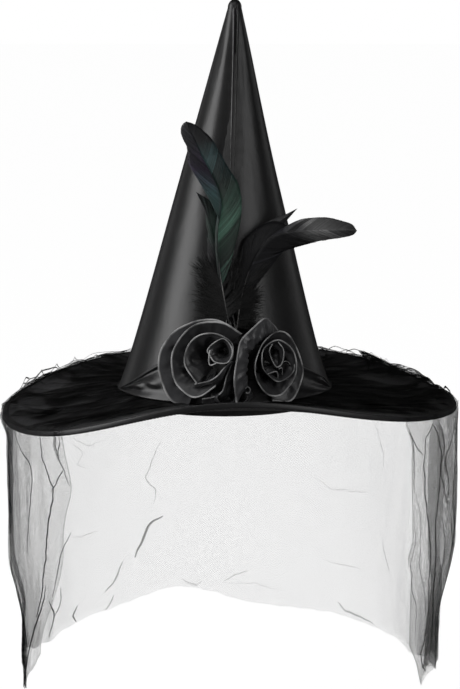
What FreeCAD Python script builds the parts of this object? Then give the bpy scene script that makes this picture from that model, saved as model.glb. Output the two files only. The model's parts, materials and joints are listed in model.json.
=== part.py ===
"""Veiled witch hat: a leaning satin cone on a wired, saddle-shaped brim, with a tulle veil,
two rolled ribbon roses and a spray of four cock feathers.

Row frame, millimetres. +Z is up, the wearer faces -Y, and the origin is the centre of the head
opening in the plane where the crown meets the brim. Every sewn layer is its own solid with a small
gap to the next one, so that the hat comes apart as it would on a bench.
"""
import FreeCAD
import Part

import math
import os

V = FreeCAD.Vector

# ---- head opening and crown ----
HEAD_R = 89.0            # inner radius of the sweatband
BAND_WALL = 1.0
BAND_BOTTOM = -11.0      # the sweatband shows this far below the brim
BAND_STRAIGHT_TOP = 3.5  # above this the sweatband leans in with the cone
BAND_TOP = 20.0
BAND_CLEARANCE = 0.35    # between the sweatband and the lining
CROWN_H = 343.5
APEX_H = 362.0           # where the straight cone would close
CONE_R = 90.7            # radius of the straight cone at the brim
FLARE = 4.3              # extra radius where the cone flares onto the brim
FLARE_FADE = 32.0
TIP_LEAN = 9.3           # sideways lean of the tip
SEAM_LEAN_SHARE = 0.75   # the flat seam plane follows this much of the tip's lean
GORE_T = 0.6
TAPE_GAP = 0.7           # room for a seam tape between gores and stiffener
TAPE_T = 0.45
TAPE_W = 14.0
TAPE_SHORT = 45.0        # the layers inside the gores end this far below the crown's top
STIFF_T = 1.3
STIFF_SHORT = 22.0
LINING_T = 0.4
LINING_SHORT = 60.0
LAYER_GAP = 0.15
SEAM_GAP = 0.1
CROWN_FOOT = 0.3         # the crown layers start this far above the brim

# ---- front swag ----
SWAG_FROM_DEG = -74.0
SWAG_TO_DEG = 77.0
SWAG_FOOT = 2.4
SWAG_END_H = 4.0
SWAG_RISE = 36.0
SWAG_STANDOFF = 1.3      # from the crown to the middle of the satin
SWAG_RIPPLE = 0.35
SWAG_RIPPLES = 9

# ---- brim ----
BRIM_R = 204.0
BRIM_SHIFT = 4.5         # the brim's outline sits this far towards +X
BRIM_HOLE_R = 90.5
BRIM_FLAT_R = 95.0       # the brim is flat inside this radius
BRIM_RISE_POWER = 1.2
RIM_COSINES = (-4.9, 5.0, 15.1, 4.0, 1.7, 1.6)  # the saddle: rim heights, front to back
RIM_SINES = (0.0, 4.9, 3.1, 0.7, -0.4, 0.0)     # how the +X side differs from the -X side
FABRIC_T = 0.5
INTERLINING_T = 2.7
PLY_GAP = 0.1
PLY_R = 203.2
INTERLINING_R = 199.3
BINDING_T = 0.4
BINDING_W = 5.0
WIRE_R = 0.9
WIRE_PATH_R = 201.5
WIRE_GAP_DEG = 0.5       # half of the gap between the wire's ends, at the back
SLEEVE_R = 1.25
SLEEVE_L = 22.0
SLEEVE_GAP = 0.1
TOOL_H = 90.0            # half height of tools that trim the brim surface
SURFACE_REACH = 216.0
SURFACE_STEPS = 42

# ---- veil ----
TULLE_T = 0.4
TULLE_LIFT = 0.8         # height of the tulle over the brim's top fabric
TULLE_IN_R = 97.5
TULLE_OUT_R = 205.4
TULLE_FRONT = ((30.0, -92.0), (95.0, -148.0), (150.0, -141.0))  # front edge, mirrored to -X
DRAPE_R = 206.6
DRAPE_FROM_DEG = -47.0   # angle from the front; it runs round the back to the other side
DRAPE_TO_DEG = -310.0
DRAPE_DROP = 12.0        # the drape starts this far below the rim
HEM_BACK = -255.0
HEM_SIDE = -264.0
HEM_TILT = -3.0          # the +X side hangs lower by this much
NOTCH_H = 16.0           # the hem rises by this much at one place behind
NOTCH_AT_DEG = -166.0
NOTCH_WIDTH_DEG = 14.0
FOLD_DEPTH = 3.0
FOLD_COUNT = 26
FOLD_SHARE_AT_TOP = 0.35  # the folds open from this share of their depth at the top to all of it
TAIL_PULL = 24.0         # how far each side tail gathers inwards at the hem
TAIL_START = 0.45        # share of the drape's height where the gathering starts
TAIL_WIDTH_POWER = 6     # a larger power makes a narrower tail

# ---- ribbon roses: (name, rim centre X, Z, turn about Z in degrees) ----
ROSES = (("rose_left", -23.0, 40.0, -28.0), ("rose_right", 39.5, 40.5, 38.0))
ROSE_RIM_R = 36.0
ROSE_BASE_R = 14.0
ROSE_DEPTH = 22.0
ROSE_STANDOFF = 8.0      # from the crown to the rose's base
ROSE_NOD = 7.0           # upward tilt of a rose's axis, degrees
PETAL_T = 1.0
RIBBON_T = 0.7
BACKING_T = 1.0
BACKING_R = 16.0
# name: rim radius, foot radius, foot and rim heights, start angle and sweep (degrees)
ROSE_WRAPS = {
    "centre_roll": (9.5, 4.0, 4.0, 21.0, 40, 340),
    "inner_petal": (19.0, 8.0, 2.6, 22.0, 200, 330),
    "middle_petal": (28.0, 11.0, 1.9, 21.5, 80, 320),
    "outer_petal": (ROSE_RIM_R, ROSE_BASE_R, 1.3, 20.0, -40, 325),
}

# ---- ribbon loops: each centre, turn and tilt (degrees) ----
RIBBON_LOOPS = (((-0.5, -107.0, 10.5), 25.0, 80.0), ((14.5, -104.0, 9.5), -20.0, 75.0))
LOOP_R = 6.4
LOOP_W = 13.0

# ---- feathers: the spray lies in a plane leaning back with the cone's front ----
SPRAY_X, SPRAY_Z = 8.0, 60.0
SPRAY_LEAN = 14.6        # degrees
QUILL_R = 0.9
QUILL_TIP_R = 0.35
QUILL_BELOW = 8.0        # length of quill held below its pivot
QUILL_REACH = 0.93       # the quill stops short of the vane's tip by this share
QUILL_GAP = 0.15         # between a vane and its quill
VANE_T = 0.8
VANE_START = 0.1         # share of the quill that is bare at its foot
VANE_STEPS = 30
DOWN_T = 0.5
DOWN_BACK = 1.15         # from a feather's middle to the front of its down
# name: layer distance from the cone, quill start offset, centreline (u, v), vane half-widths along it
FEATHERS = {
    "feather_tall": (12.6, -2.2, ((-7.5, 34), (-11, 72), (-9.3, 102), (-10, 128), (-19, 150), (-39.5, 181)),
                     (1.5, 13, 17.5, 18, 15, 11, 4)),
    "feather_short": (9.6, 2.2, ((-9, 38), (-17, 68), (-25, 96), (-34.5, 123)),
                      (1.5, 10, 11, 8, 2)),
    "feather_curl": (6.6, 2.4, ((2, 32), (8, 54), (23, 78), (48, 86), (76, 89), (104.5, 88)),
                     (1.5, 12, 15, 14, 11, 9, 4)),
    "feather_spike": (3.6, -2.4, ((4, 36), (15, 66), (34, 90), (59, 110)),
                      (1.5, 9, 9, 6, 1.0)),
}
DOWN_TUFTS = {"feather_tall": (-14.0, 28.0, 19.0, 27.0), "feather_curl": (10.0, 30.0, 16.0, 24.0)}
PATCH_R = 15.0
PATCH_T = 1.0
PATCH_AT = (-3.0, -27.0, 4.4)  # (u, v, d) of the felt patch
BINDING_HALF_W = 6.2
BINDING_WALL = 0.8
BINDING_D = (1.2, 15.2)
BINDING_V = (-10.0, -3.5)
BINDING_FILLET = 1.6


# ---------------------------------------------------------------- helpers
def save(name, shape):
    """Writes one sub-part, and stops unless it is sound and closed."""
    solids = shape.Solids
    if not solids or not shape.isValid() or any(s.Volume <= 0 for s in solids):
        raise RuntimeError(f"{name}: {len(solids)} solids, valid {shape.isValid()}")
    shape.exportStep(f"parts/{name}.step")


def ring(hole_r, hole_x, r_out):
    """A tall tool with the brim's outline, and a round hole whose centre can differ."""
    outer = Part.makeCylinder(r_out, 2 * TOOL_H, V(BRIM_SHIFT, 0, -TOOL_H))
    return outer.cut(Part.makeCylinder(hole_r, 2 * TOOL_H, V(hole_x, 0, -TOOL_H)))


def revolve(points, angle=360.0, start=0.0):
    """Turns a closed (radius, height) outline about +Z."""
    outline = [V(r, 0, z) for r, z in points]
    face = Part.Face(Part.makePolygon(outline + outline[:1]))
    face.rotate(V(), V(0, 0, 1), start)
    return face.revolve(V(), V(0, 0, 1), angle)


def surface(grid):
    """A smooth face through a grid of points."""
    spline = Part.BSplineSurface()
    spline.interpolate(grid)
    return spline


def sheet_solid(middle, thickness):
    """A closed sheet of even thickness about a grid of mid-surface points."""
    rows, columns = len(middle), len(middle[0])

    def normal(i, j):
        down = middle[min(i + 1, rows - 1)][j] - middle[max(i - 1, 0)][j]
        along = middle[i][min(j + 1, columns - 1)] - middle[i][max(j - 1, 0)]
        return down.cross(along).normalize()

    sides = []
    for sign in (0.5, -0.5):
        grid = [[middle[i][j] + normal(i, j) * (sign * thickness) for j in range(columns)]
                for i in range(rows)]
        sides.append(surface(grid))
    faces = [s.toShape() for s in sides]
    for name in ("uIso", "vIso"):
        for end in (0, 1):
            edges = []
            for s in sides:
                u0, u1, v0, v1 = s.bounds()
                at = ((u0, u1) if name == "uIso" else (v0, v1))[end]
                edges.append(getattr(s, name)(at).toShape())
            faces.append(Part.makeRuledSurface(edges[0], edges[1]))
    shell = Part.Shell(faces)
    shell.sewShape()
    solid = Part.Solid(shell)
    if solid.Volume < 0:
        solid.reverse()
    return solid


# ---------------------------------------------------------------- crown
def crown_radius(z):
    return CONE_R * (1 - z / APEX_H) + FLARE * math.exp(-z / FLARE_FADE)


def crown_lean(z):
    return TIP_LEAN * (max(z, 0.0) / CROWN_H) ** 1.3


def cone_heights(top):
    shares = (0.0, 0.03, 0.08, 0.16, 0.3, 0.45, 0.62, 0.8, 0.93, 1.0)
    return [CROWN_FOOT + s * (top - CROWN_FOOT) for s in shares]


def cone_solid(inset, top):
    """A solid cone whose surface lies inset inside the crown's outer surface."""
    wires = []
    for z in cone_heights(top):
        circle = Part.Circle(V(crown_lean(z), 0, z), V(0, 0, 1), crown_radius(z) - inset)
        wires.append(Part.Wire(circle.toShape()))
    return Part.makeLoft(wires, True, False)


def cone_shell(inset, thickness, top):
    return cone_solid(inset, top).cut(cone_solid(inset + thickness, top))


def half_space(side, gap):
    """The half of space on one side of the front-to-back seam plane."""
    size = 2 * BRIM_R
    x0 = gap / 2 if side > 0 else -gap / 2 - size
    return Part.makeBox(size, 2 * size, 2 * size, V(x0, -size, -size))


def make_crown():
    gores = cone_shell(0.0, GORE_T, CROWN_H - 1)
    lean = math.degrees(math.atan2(crown_lean(CROWN_H), CROWN_H)) * SEAM_LEAN_SHARE
    for side, name in ((-1, "crown_gore_left"), (1, "crown_gore_right")):
        half = half_space(side, SEAM_GAP)
        half.rotate(V(), V(0, 1, 0), lean)
        save(name, gores.common(half))
    tape_inset = GORE_T + (TAPE_GAP - TAPE_T) / 2
    tapes = cone_shell(tape_inset, TAPE_T, CROWN_H - TAPE_SHORT)
    for side, name in ((-1, "crown_front_seam_tape"), (1, "crown_back_seam_tape")):
        y0 = -2 * BRIM_R if side < 0 else 0
        strip = Part.makeBox(TAPE_W, 2 * BRIM_R, CROWN_H, V(-TAPE_W / 2, y0, 0))
        strip.rotate(V(), V(0, 1, 0), lean)
        save(name, tapes.common(strip))
    stiff_inset = GORE_T + TAPE_GAP
    save("crown_stiffener", cone_shell(stiff_inset, STIFF_T, CROWN_H - STIFF_SHORT))
    lining_inset = stiff_inset + STIFF_T + LAYER_GAP
    save("crown_lining", cone_shell(lining_inset, LINING_T, CROWN_H - LINING_SHORT))


def make_sweatband():
    """A grosgrain band: a straight lower part grips the head, the top leans in with the lining."""
    lining_r = crown_radius(BAND_TOP) - GORE_T - TAPE_GAP - STIFF_T - LAYER_GAP - LINING_T
    out = HEAD_R + BAND_WALL
    top = lining_r - BAND_CLEARANCE
    save("sweatband", revolve([(HEAD_R, BAND_BOTTOM), (out, BAND_BOTTOM), (out, BAND_STRAIGHT_TOP),
                               (top, BAND_TOP), (top - BAND_WALL, BAND_TOP),
                               (HEAD_R, BAND_STRAIGHT_TOP)]))


def make_front_swag():
    """A crescent of draped satin across the crown's foot, widest behind the roses."""
    rows, columns = 7, 41
    grid = []
    for i in range(rows):
        line = []
        for j in range(columns):
            share = j / (columns - 1)
            turn = math.radians(SWAG_FROM_DEG + (SWAG_TO_DEG - SWAG_FROM_DEG) * share)
            height = SWAG_END_H + SWAG_RISE * math.sin(math.pi * share) ** 1.6
            z = SWAG_FOOT + height * i / (rows - 1)
            ripple = SWAG_RIPPLE * math.sin(SWAG_RIPPLES * math.pi * share + i)
            r = crown_radius(z) + SWAG_STANDOFF + ripple
            line.append(V(crown_lean(z) + r * math.sin(turn), -r * math.cos(turn), z))
        grid.append(line)
    save("front_swag", sheet_solid(grid, RIBBON_T))


# ---------------------------------------------------------------- brim
def rim_height(turn):
    """Height of the rim at an angle from the front, positive towards +X."""
    waves = zip(RIM_COSINES, RIM_SINES)
    return sum(c * math.cos(k * turn) + s * math.sin(k * turn) for k, (c, s) in enumerate(waves))


def brim_height(x, y):
    share = (math.hypot(x, y) - BRIM_FLAT_R) / (BRIM_R - BRIM_FLAT_R)
    if share <= 0:
        return 0.0
    return rim_height(math.atan2(x, -y)) * share ** BRIM_RISE_POWER


def brim_surface():
    step = 2 * SURFACE_REACH / SURFACE_STEPS
    ticks = [-SURFACE_REACH + step * i for i in range(SURFACE_STEPS + 1)]
    return surface([[V(x, y, brim_height(x, y)) for y in ticks] for x in ticks]).toShape()


def make_brim(base):
    """Plies, edge wire and binding, all following the same saddle surface."""
    def ply(r_out, top, thickness, hole_r=BRIM_HOLE_R, hole_x=0.0):
        face = base.common(ring(hole_r, hole_x, r_out))
        face.translate(V(0, 0, top))
        return face.extrude(V(0, 0, -thickness))

    inner_top = -FABRIC_T - PLY_GAP
    under_top = inner_top - INTERLINING_T - PLY_GAP
    bottom = under_top - FABRIC_T
    save("brim_top_fabric", ply(PLY_R, 0.0, FABRIC_T))
    save("brim_interlining", ply(INTERLINING_R, inner_top, INTERLINING_T))
    save("brim_under_fabric", ply(PLY_R, under_top, FABRIC_T))

    leg = PLY_GAP + BINDING_T
    full = ply(BRIM_R, leg, 2 * leg - bottom, BRIM_R - BINDING_W, BRIM_SHIFT)
    hollow = ply(PLY_R + 0.2, PLY_GAP, 2 * PLY_GAP - bottom)
    save("brim_edge_binding", full.cut(hollow))

    middle = inner_top - INTERLINING_T / 2

    def path(begin, end, steps):
        points = []
        for i in range(steps + 1):
            turn = math.radians(begin + (end - begin) * i / steps)
            x, y = BRIM_SHIFT + WIRE_PATH_R * math.sin(turn), -WIRE_PATH_R * math.cos(turn)
            points.append(V(x, y, brim_height(x, y) + middle))
        curve = Part.BSplineCurve()
        curve.interpolate(points)
        return curve

    def swept(curve, radius):
        start = curve.FirstParameter
        circle = Part.Circle(curve.value(start), curve.tangent(start)[0], radius)
        return Part.Wire(curve.toShape()).makePipeShell([Part.Wire(circle.toShape())], True, False)

    save("brim_edge_wire", swept(path(180 + WIRE_GAP_DEG, 540 - WIRE_GAP_DEG, 90), WIRE_R))
    half = math.degrees(SLEEVE_L / 2 / WIRE_PATH_R)
    sleeve_path = path(180 - half, 180 + half, 6)
    sleeve = swept(sleeve_path, SLEEVE_R).cut(swept(sleeve_path, WIRE_R + SLEEVE_GAP))
    save("wire_joining_sleeve", sleeve)


# ---------------------------------------------------------------- veil
def make_veil_on_brim(base):
    """The part of the tulle that lies on the brim, open in a wedge at the front."""
    face = base.common(ring(TULLE_IN_R, 0.0, TULLE_OUT_R))
    far = 3 * BRIM_R
    right = [V(x, y, -TOOL_H) for x, y in TULLE_FRONT]
    left = [V(-p.x, p.y, -TOOL_H) for p in reversed(right)]
    outline = left + right + [V(far, -far, -TOOL_H), V(-far, -far, -TOOL_H)]
    wedge = Part.Face(Part.makePolygon(outline + outline[:1])).extrude(V(0, 0, 2 * TOOL_H))
    face = face.cut(wedge)
    face.translate(V(0, 0, TULLE_LIFT))
    save("veil_on_brim", face.extrude(V(0, 0, TULLE_T)))


def hem_height(turn):
    """The hem is highest in a notch behind, left of the middle, and lowest at the sides."""
    side = math.sin(turn) ** 2 if math.cos(turn) < 0 else 1.0
    off_notch = (math.degrees(turn) - NOTCH_AT_DEG) / NOTCH_WIDTH_DEG
    notch = NOTCH_H * math.exp(-off_notch ** 2)
    return HEM_BACK + (HEM_SIDE - HEM_BACK) * side + notch + HEM_TILT * math.sin(turn)


def make_veil_drape():
    """The hanging curtain: from the front left, round the back, to the front right."""
    rows, columns = 15, 141
    first, last = math.radians(DRAPE_FROM_DEG), math.radians(DRAPE_TO_DEG)
    grid = []
    for i in range(rows):
        down = i / (rows - 1)
        line = []
        for j in range(columns):
            turn = first + (last - first) * j / (columns - 1)
            side = abs(math.sin(turn))
            opening = FOLD_SHARE_AT_TOP + (1 - FOLD_SHARE_AT_TOP) * down
            fold = FOLD_DEPTH * opening * side * math.sin(FOLD_COUNT * turn)
            gather = (max(0.0, down - TAIL_START) / (1 - TAIL_START)) ** 1.5
            r = DRAPE_R + FOLD_DEPTH + fold - TAIL_PULL * gather * side ** TAIL_WIDTH_POWER
            x, y = BRIM_SHIFT + r * math.sin(turn), -r * math.cos(turn)
            top = rim_height(turn) - DRAPE_DROP
            line.append(V(x, y, top + (hem_height(turn) - top) * down))
        grid.append(line)
    save("veil_drape", sheet_solid(grid, TULLE_T))


# ---------------------------------------------------------------- roses
def rose_frame(centre_x, centre_z, turn):
    """Placement that carries +Z to a rose's axis and the origin to its base centre."""
    a, nod = math.radians(turn), math.radians(ROSE_NOD)
    axis = V(math.sin(a) * math.cos(nod), -math.cos(a) * math.cos(nod), math.sin(nod))
    base_x = centre_x - ROSE_DEPTH * axis.x
    base_z = centre_z - ROSE_DEPTH * axis.z
    base_y = -math.sqrt(crown_radius(base_z) ** 2 - base_x ** 2) - ROSE_STANDOFF
    return FreeCAD.Placement(V(base_x, base_y, base_z), FreeCAD.Rotation(V(0, 0, 1), axis))


def petal(rim_r, base_r, low, high, begin, sweep):
    """A flared wrap of ribbon: part of a cone wall about the rose's axis."""
    outline = [(base_r, low), (base_r + PETAL_T, low), (rim_r, high), (rim_r - PETAL_T, high)]
    return revolve(outline, sweep, begin)


def make_roses():
    for name, x, z, turn in ROSES:
        place = rose_frame(x, z, turn)
        for part, (rim_r, base_r, low, high, begin, sweep) in ROSE_WRAPS.items():
            shape = petal(rim_r, base_r, low, high, begin, sweep)
            shape.Placement = place.multiply(shape.Placement)
            save(f"{name}_{part}", shape)
        backing = Part.makeCylinder(BACKING_R, BACKING_T)
        backing.Placement = place
        save(f"{name}_felt_backing", backing)


def make_ribbon_loops():
    """Two small folded loops of the same ribbon, tucked between the roses on the brim."""
    loops = []
    for centre, turn, tilt in RIBBON_LOOPS:
        hollow = Part.makeCylinder(LOOP_R - RIBBON_T, LOOP_W)
        loop = Part.makeCylinder(LOOP_R, LOOP_W).cut(hollow)
        loop.translate(V(0, 0, -LOOP_W / 2))
        loop.rotate(V(), V(1, 0, 0), tilt)
        loop.rotate(V(), V(0, 0, 1), turn)
        loop.translate(V(*centre))
        loops.append(loop)
    save("ribbon_loops", Part.makeCompound(loops))


def make_mount_patch():
    """The felt patch on the crown that the roses and the feather spray are sewn to."""
    patch = Part.makeCylinder(PATCH_R, PATCH_T)
    on_cone = FreeCAD.Placement(V(*PATCH_AT), FreeCAD.Rotation())
    patch.Placement = spray_place().multiply(on_cone)
    save("mount_patch", patch)


# ---------------------------------------------------------------- feathers
def spray_place():
    """Carries (u, v, d) to the row frame: u across, v up the cone's front, d out from it."""
    front = V(SPRAY_X, -crown_radius(SPRAY_Z), SPRAY_Z)
    return FreeCAD.Placement(front, FreeCAD.Rotation(V(1, 0, 0), 90 - SPRAY_LEAN))


def feather_line(name):
    layer, offset, points, half_widths = FEATHERS[name]
    curve = Part.BSplineCurve()
    curve.interpolate([V(offset, 0, 0)] + [V(u, v, 0) for u, v in points])
    return layer, offset, curve, half_widths


def smooth_edge(points):
    edge = Part.BSplineCurve()
    edge.interpolate(points)
    return edge.toShape()


def vane_shape(curve, half_widths, layer):
    """The two flat webs of a feather, one either side of its quill."""
    first, last = curve.FirstParameter, curve.LastParameter
    bare = QUILL_R + QUILL_GAP

    def offsets(side, widths):
        """Points beside the quill, one for each width, from the vane's foot to its tip."""
        points = []
        for k, width in enumerate(widths):
            share = VANE_START + (1 - VANE_START) * k / (len(widths) - 1)
            at = first + (last - first) * share
            along = curve.tangent(at)[0]
            points.append(curve.value(at) + V(-along.y, along.x, 0) * (side * (bare + width)))
        return points

    webs = []
    for side in (1, -1):
        outer = offsets(side, half_widths)
        inner = offsets(side, [0.0] * VANE_STEPS)
        tip, foot = Part.makeLine(outer[-1], inner[-1]), Part.makeLine(inner[0], outer[0])
        edges = [smooth_edge(outer), tip, smooth_edge(inner[::-1]), foot]
        web = Part.Face(Part.Wire(edges)).extrude(V(0, 0, VANE_T))
        web.translate(V(0, 0, layer - VANE_T / 2))
        webs.append(web)
    return Part.makeCompound(webs)


def quill_shape(curve, offset, layer):
    """A round shaft that tapers along the centreline, with a straight stub below the pivot."""
    first, last = curve.FirstParameter, curve.LastParameter
    steps = 14
    wires = []
    stub = V(offset, -QUILL_BELOW, layer)
    wires.append(Part.Wire(Part.Circle(stub, V(0, 1, 0), QUILL_R).toShape()))
    for k in range(steps + 1):
        at = first + (last - first) * QUILL_REACH * k / steps
        point = curve.value(at) + V(0, 0, layer)
        radius = QUILL_R + (QUILL_TIP_R - QUILL_R) * k / steps
        wires.append(Part.Wire(Part.Circle(point, curve.tangent(at)[0], radius).toShape()))
    return Part.makeLoft(wires, True, False)


def make_feathers():
    place = spray_place()
    for name in FEATHERS:
        layer, offset, curve, half_widths = feather_line(name)
        quill = quill_shape(curve, offset, layer)
        vane = vane_shape(curve, half_widths, layer)
        for part, shape in (("quill", quill), ("vane", vane)):
            shape.Placement = place.multiply(shape.Placement)
            save(f"{name}_{part}", shape)


def make_down_tufts():
    """Downy barbs at the foot of the two large feathers, as flat oval pads behind the vanes."""
    place = spray_place()
    for name, (u, v, half_w, half_h) in DOWN_TUFTS.items():
        layer = FEATHERS[name][0]
        pad = Part.Face(Part.Wire(Part.Ellipse(V(0, 0, 0), half_h, half_w).toShape()))
        pad = pad.extrude(V(0, 0, DOWN_T))
        pad.rotate(V(), V(0, 0, 1), 90)
        pad.translate(V(u, v, layer - DOWN_BACK - DOWN_T))
        pad.Placement = place.multiply(pad.Placement)
        save(f"{name}_down", pad)


def make_spray_binding():
    """Thread-wrapped sleeve round the four quills; each quill pivots just above it."""
    (d0, d1), (v0, v1), w = BINDING_D, BINDING_V, BINDING_HALF_W
    outer = Part.makeBox(2 * w, v1 - v0, d1 - d0, V(-w, v0, d0))
    outer = outer.makeFillet(BINDING_FILLET, [e for e in outer.Edges if abs(e.tangentAt(0).y) > 0.9])
    wall = BINDING_WALL
    inner = Part.makeBox(2 * (w - wall), v1 - v0 + 2, d1 - d0 - 2 * wall, V(-w + wall, v0 - 1, d0 + wall))
    sleeve = outer.cut(inner)
    sleeve.Placement = spray_place().multiply(sleeve.Placement)
    save("spray_binding", sleeve)


def main():
    os.makedirs("parts", exist_ok=True)
    base = brim_surface()
    make_crown()
    make_sweatband()
    make_front_swag()
    make_brim(base)
    make_veil_on_brim(base)
    make_veil_drape()
    make_roses()
    make_ribbon_loops()
    make_mount_patch()
    make_feathers()
    make_down_tufts()
    make_spray_binding()


main()
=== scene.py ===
"""Looks for the veiled witch hat: satin crown and brim, tulle veil, ribbon roses, cock feathers.

Lengths are millimetres in the frame (+Z up, the wearer faces -Y) until a mesh is made. The crown's
and brim's curves have the same driving sizes as the CAD, so new pieces sit on the frame. Turns and
azimuths run round the hat from the front, positive towards +X.
"""

import json
import math

import bpy
import numpy as np
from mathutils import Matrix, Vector

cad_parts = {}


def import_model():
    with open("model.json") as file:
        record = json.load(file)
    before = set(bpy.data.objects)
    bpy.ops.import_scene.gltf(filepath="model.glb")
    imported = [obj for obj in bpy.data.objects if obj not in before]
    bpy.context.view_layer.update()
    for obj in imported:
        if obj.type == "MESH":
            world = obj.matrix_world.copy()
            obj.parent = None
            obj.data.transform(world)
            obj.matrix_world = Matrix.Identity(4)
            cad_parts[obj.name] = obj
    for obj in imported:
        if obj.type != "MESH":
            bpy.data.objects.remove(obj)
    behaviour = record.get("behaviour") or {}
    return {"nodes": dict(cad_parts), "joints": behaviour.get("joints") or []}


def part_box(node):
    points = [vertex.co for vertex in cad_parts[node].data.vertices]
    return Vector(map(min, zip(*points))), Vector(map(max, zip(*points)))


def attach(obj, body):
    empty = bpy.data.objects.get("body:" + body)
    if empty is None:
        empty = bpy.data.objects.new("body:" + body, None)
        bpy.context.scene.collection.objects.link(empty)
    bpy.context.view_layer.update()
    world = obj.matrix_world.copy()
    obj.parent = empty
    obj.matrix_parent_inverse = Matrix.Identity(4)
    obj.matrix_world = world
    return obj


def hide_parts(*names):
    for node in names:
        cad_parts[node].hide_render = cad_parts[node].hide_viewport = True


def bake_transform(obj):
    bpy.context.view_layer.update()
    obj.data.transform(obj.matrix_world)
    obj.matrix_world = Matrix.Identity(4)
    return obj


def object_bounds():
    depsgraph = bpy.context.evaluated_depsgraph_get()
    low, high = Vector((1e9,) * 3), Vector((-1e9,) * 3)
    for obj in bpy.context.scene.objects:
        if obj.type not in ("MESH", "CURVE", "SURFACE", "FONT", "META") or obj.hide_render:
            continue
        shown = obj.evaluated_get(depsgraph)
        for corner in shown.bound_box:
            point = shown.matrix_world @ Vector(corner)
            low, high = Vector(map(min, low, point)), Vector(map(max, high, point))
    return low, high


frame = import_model()
cad_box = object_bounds()

MM = 0.001
PI, TAU = math.pi, 2 * math.pi
rad = math.radians
SEED = 11

# ---- crown ----
CROWN_H = 343.5
APEX_H = 362.0
CONE_R = 90.7
FLARE, FLARE_FADE = 4.3, 32.0
TIP_LEAN = 9.3
CROWN_FOOT = 0.3
GORE_T = 0.5

# ---- brim ----
BRIM_R = 204.0
BRIM_SHIFT = 4.5
BRIM_HOLE_R = 90.5
BRIM_FLAT_R = 95.0
BRIM_RISE_POWER = 1.2
RIM_COSINES = (-4.9, 5.0, 15.1, 4.0, 1.7, 1.6)     # the rim's height as 0 to 5 waves round the hat
RIM_SINES = (0.0, 4.9, 3.1, 0.7, -0.4, 0.0)
PLY_R = 203.2
BRIM_DEPTH = 3.9
BINDING_W = 5.2

# ---- veil ----
VEIL_IN_R = 96.5
VEIL_OUT_R = BRIM_R + 1.3
VEIL_T = 0.16
VEIL_LIFT = 0.9
NET_PITCH = 1.45
NET_COVER = 0.085        # the share of one layer that its threads cover, seen face on


# ================================================================ shape formulas
def crown_radius(z):
    """A cone that flares a little at its foot."""
    return CONE_R * (1 - z / APEX_H) + FLARE * np.exp(-z / FLARE_FADE)


def crown_lean(z):
    return TIP_LEAN * (np.maximum(z, 0.0) / CROWN_H) ** 1.3


def rim_height(turn):
    waves = enumerate(zip(RIM_COSINES, RIM_SINES))
    return sum(c * np.cos(k * turn) + s * np.sin(k * turn) for k, (c, s) in waves)


def brim_height(x, y):
    share = (np.hypot(x, y) - BRIM_FLAT_R) / (BRIM_R - BRIM_FLAT_R)
    return rim_height(np.arctan2(x, -y)) * np.maximum(share, 0.0) ** BRIM_RISE_POWER


def brim_point(turn, radius, lift=0.0):
    """A point over the brim. Its centre slides from the crown's axis to the outline's centre."""
    shift = BRIM_SHIFT * np.clip((radius - BRIM_HOLE_R) / (BRIM_R - BRIM_HOLE_R), 0, 1)
    x = shift + radius * np.sin(turn)
    y = -radius * np.cos(turn)
    return np.stack([x, y, brim_height(x, y) + lift], -1)


def radial(turn):
    """Unit vectors away from the hat's axis."""
    return np.stack([np.sin(turn), -np.cos(turn), 0 * turn], -1)


def smooth(a, b, x):
    """Rises smoothly from 0 at a to 1 at b."""
    t = np.clip((x - a) / (b - a), 0, 1)
    return t * t * (3 - 2 * t)


def bump(x, centre, width):
    """A bell of height 1."""
    return np.exp(-((x - centre) / width) ** 2)


def unit(v):
    return v / np.maximum(np.linalg.norm(v, axis=-1, keepdims=True), 1e-9)


def run_along(points):
    """Distance along a line of points (..., n, dimensions), from 0 at its start."""
    steps = np.linalg.norm(np.diff(points, axis=-2), axis=-1)
    return np.concatenate([np.zeros(steps.shape[:-1] + (1,)), np.cumsum(steps, -1)], -1)


class Noise:
    """Smooth, seeded noise: a sum of plane waves, about -1 to 1."""

    def __init__(self, seed, waves, stretch=(1.0, 1.0, 1.0)):
        rng = np.random.default_rng(seed)
        direction = unit(rng.normal(size=(waves, 3)))
        self.k = direction * rng.uniform(0.6, 1.7, (waves, 1)) / np.array(stretch)
        self.phase = rng.uniform(0, TAU, waves)

    def __call__(self, *coords, size):
        total = 0.0
        for k, phase in zip(self.k, self.phase):
            angle = sum(c * kc for c, kc in zip(coords, k)) * (TAU / size) + phase
            total = total + np.sin(angle)
        return total / math.sqrt(len(self.phase)) * 0.8


DENTS = Noise(3, 16, (1, 1, 1.6))
FOLDS = Noise(5, 14)
RUMPLE = Noise(21, 16, (0.8, 1.0, 1))
RUMPLE_FINE = Noise(22, 16)
WANDER = Noise(23, 12)
CRUMPLE = Noise(24, 16, (1, 3, 1))


# ================================================================ mesh helpers
SPLINE_STEPS = 24         # between two given points


def make_object(name, verts, faces, material, uv=None, attributes=None):
    """A smooth mesh object from millimetre points."""
    mesh = bpy.data.meshes.new(name)
    mesh.from_pydata((np.asarray(verts) * MM).tolist(), [], [list(f) for f in faces])
    mesh.polygons.foreach_set("use_smooth", [True] * len(mesh.polygons))
    if uv is not None:
        index = np.zeros(len(mesh.loops), int)
        mesh.loops.foreach_get("vertex_index", index)
        layer = mesh.uv_layers.new(name="cloth")
        layer.data.foreach_set("uv", np.asarray(uv)[index].astype(np.float32).ravel())
    for key, values in (attributes or {}).items():
        data = mesh.attributes.new(key, "FLOAT", "POINT")
        data.data.foreach_set("value", np.asarray(values, np.float32).ravel())
    mesh.materials.append(material)
    mesh.update()
    obj = bpy.data.objects.new(name, mesh)
    bpy.context.scene.collection.objects.link(obj)
    return obj


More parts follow.
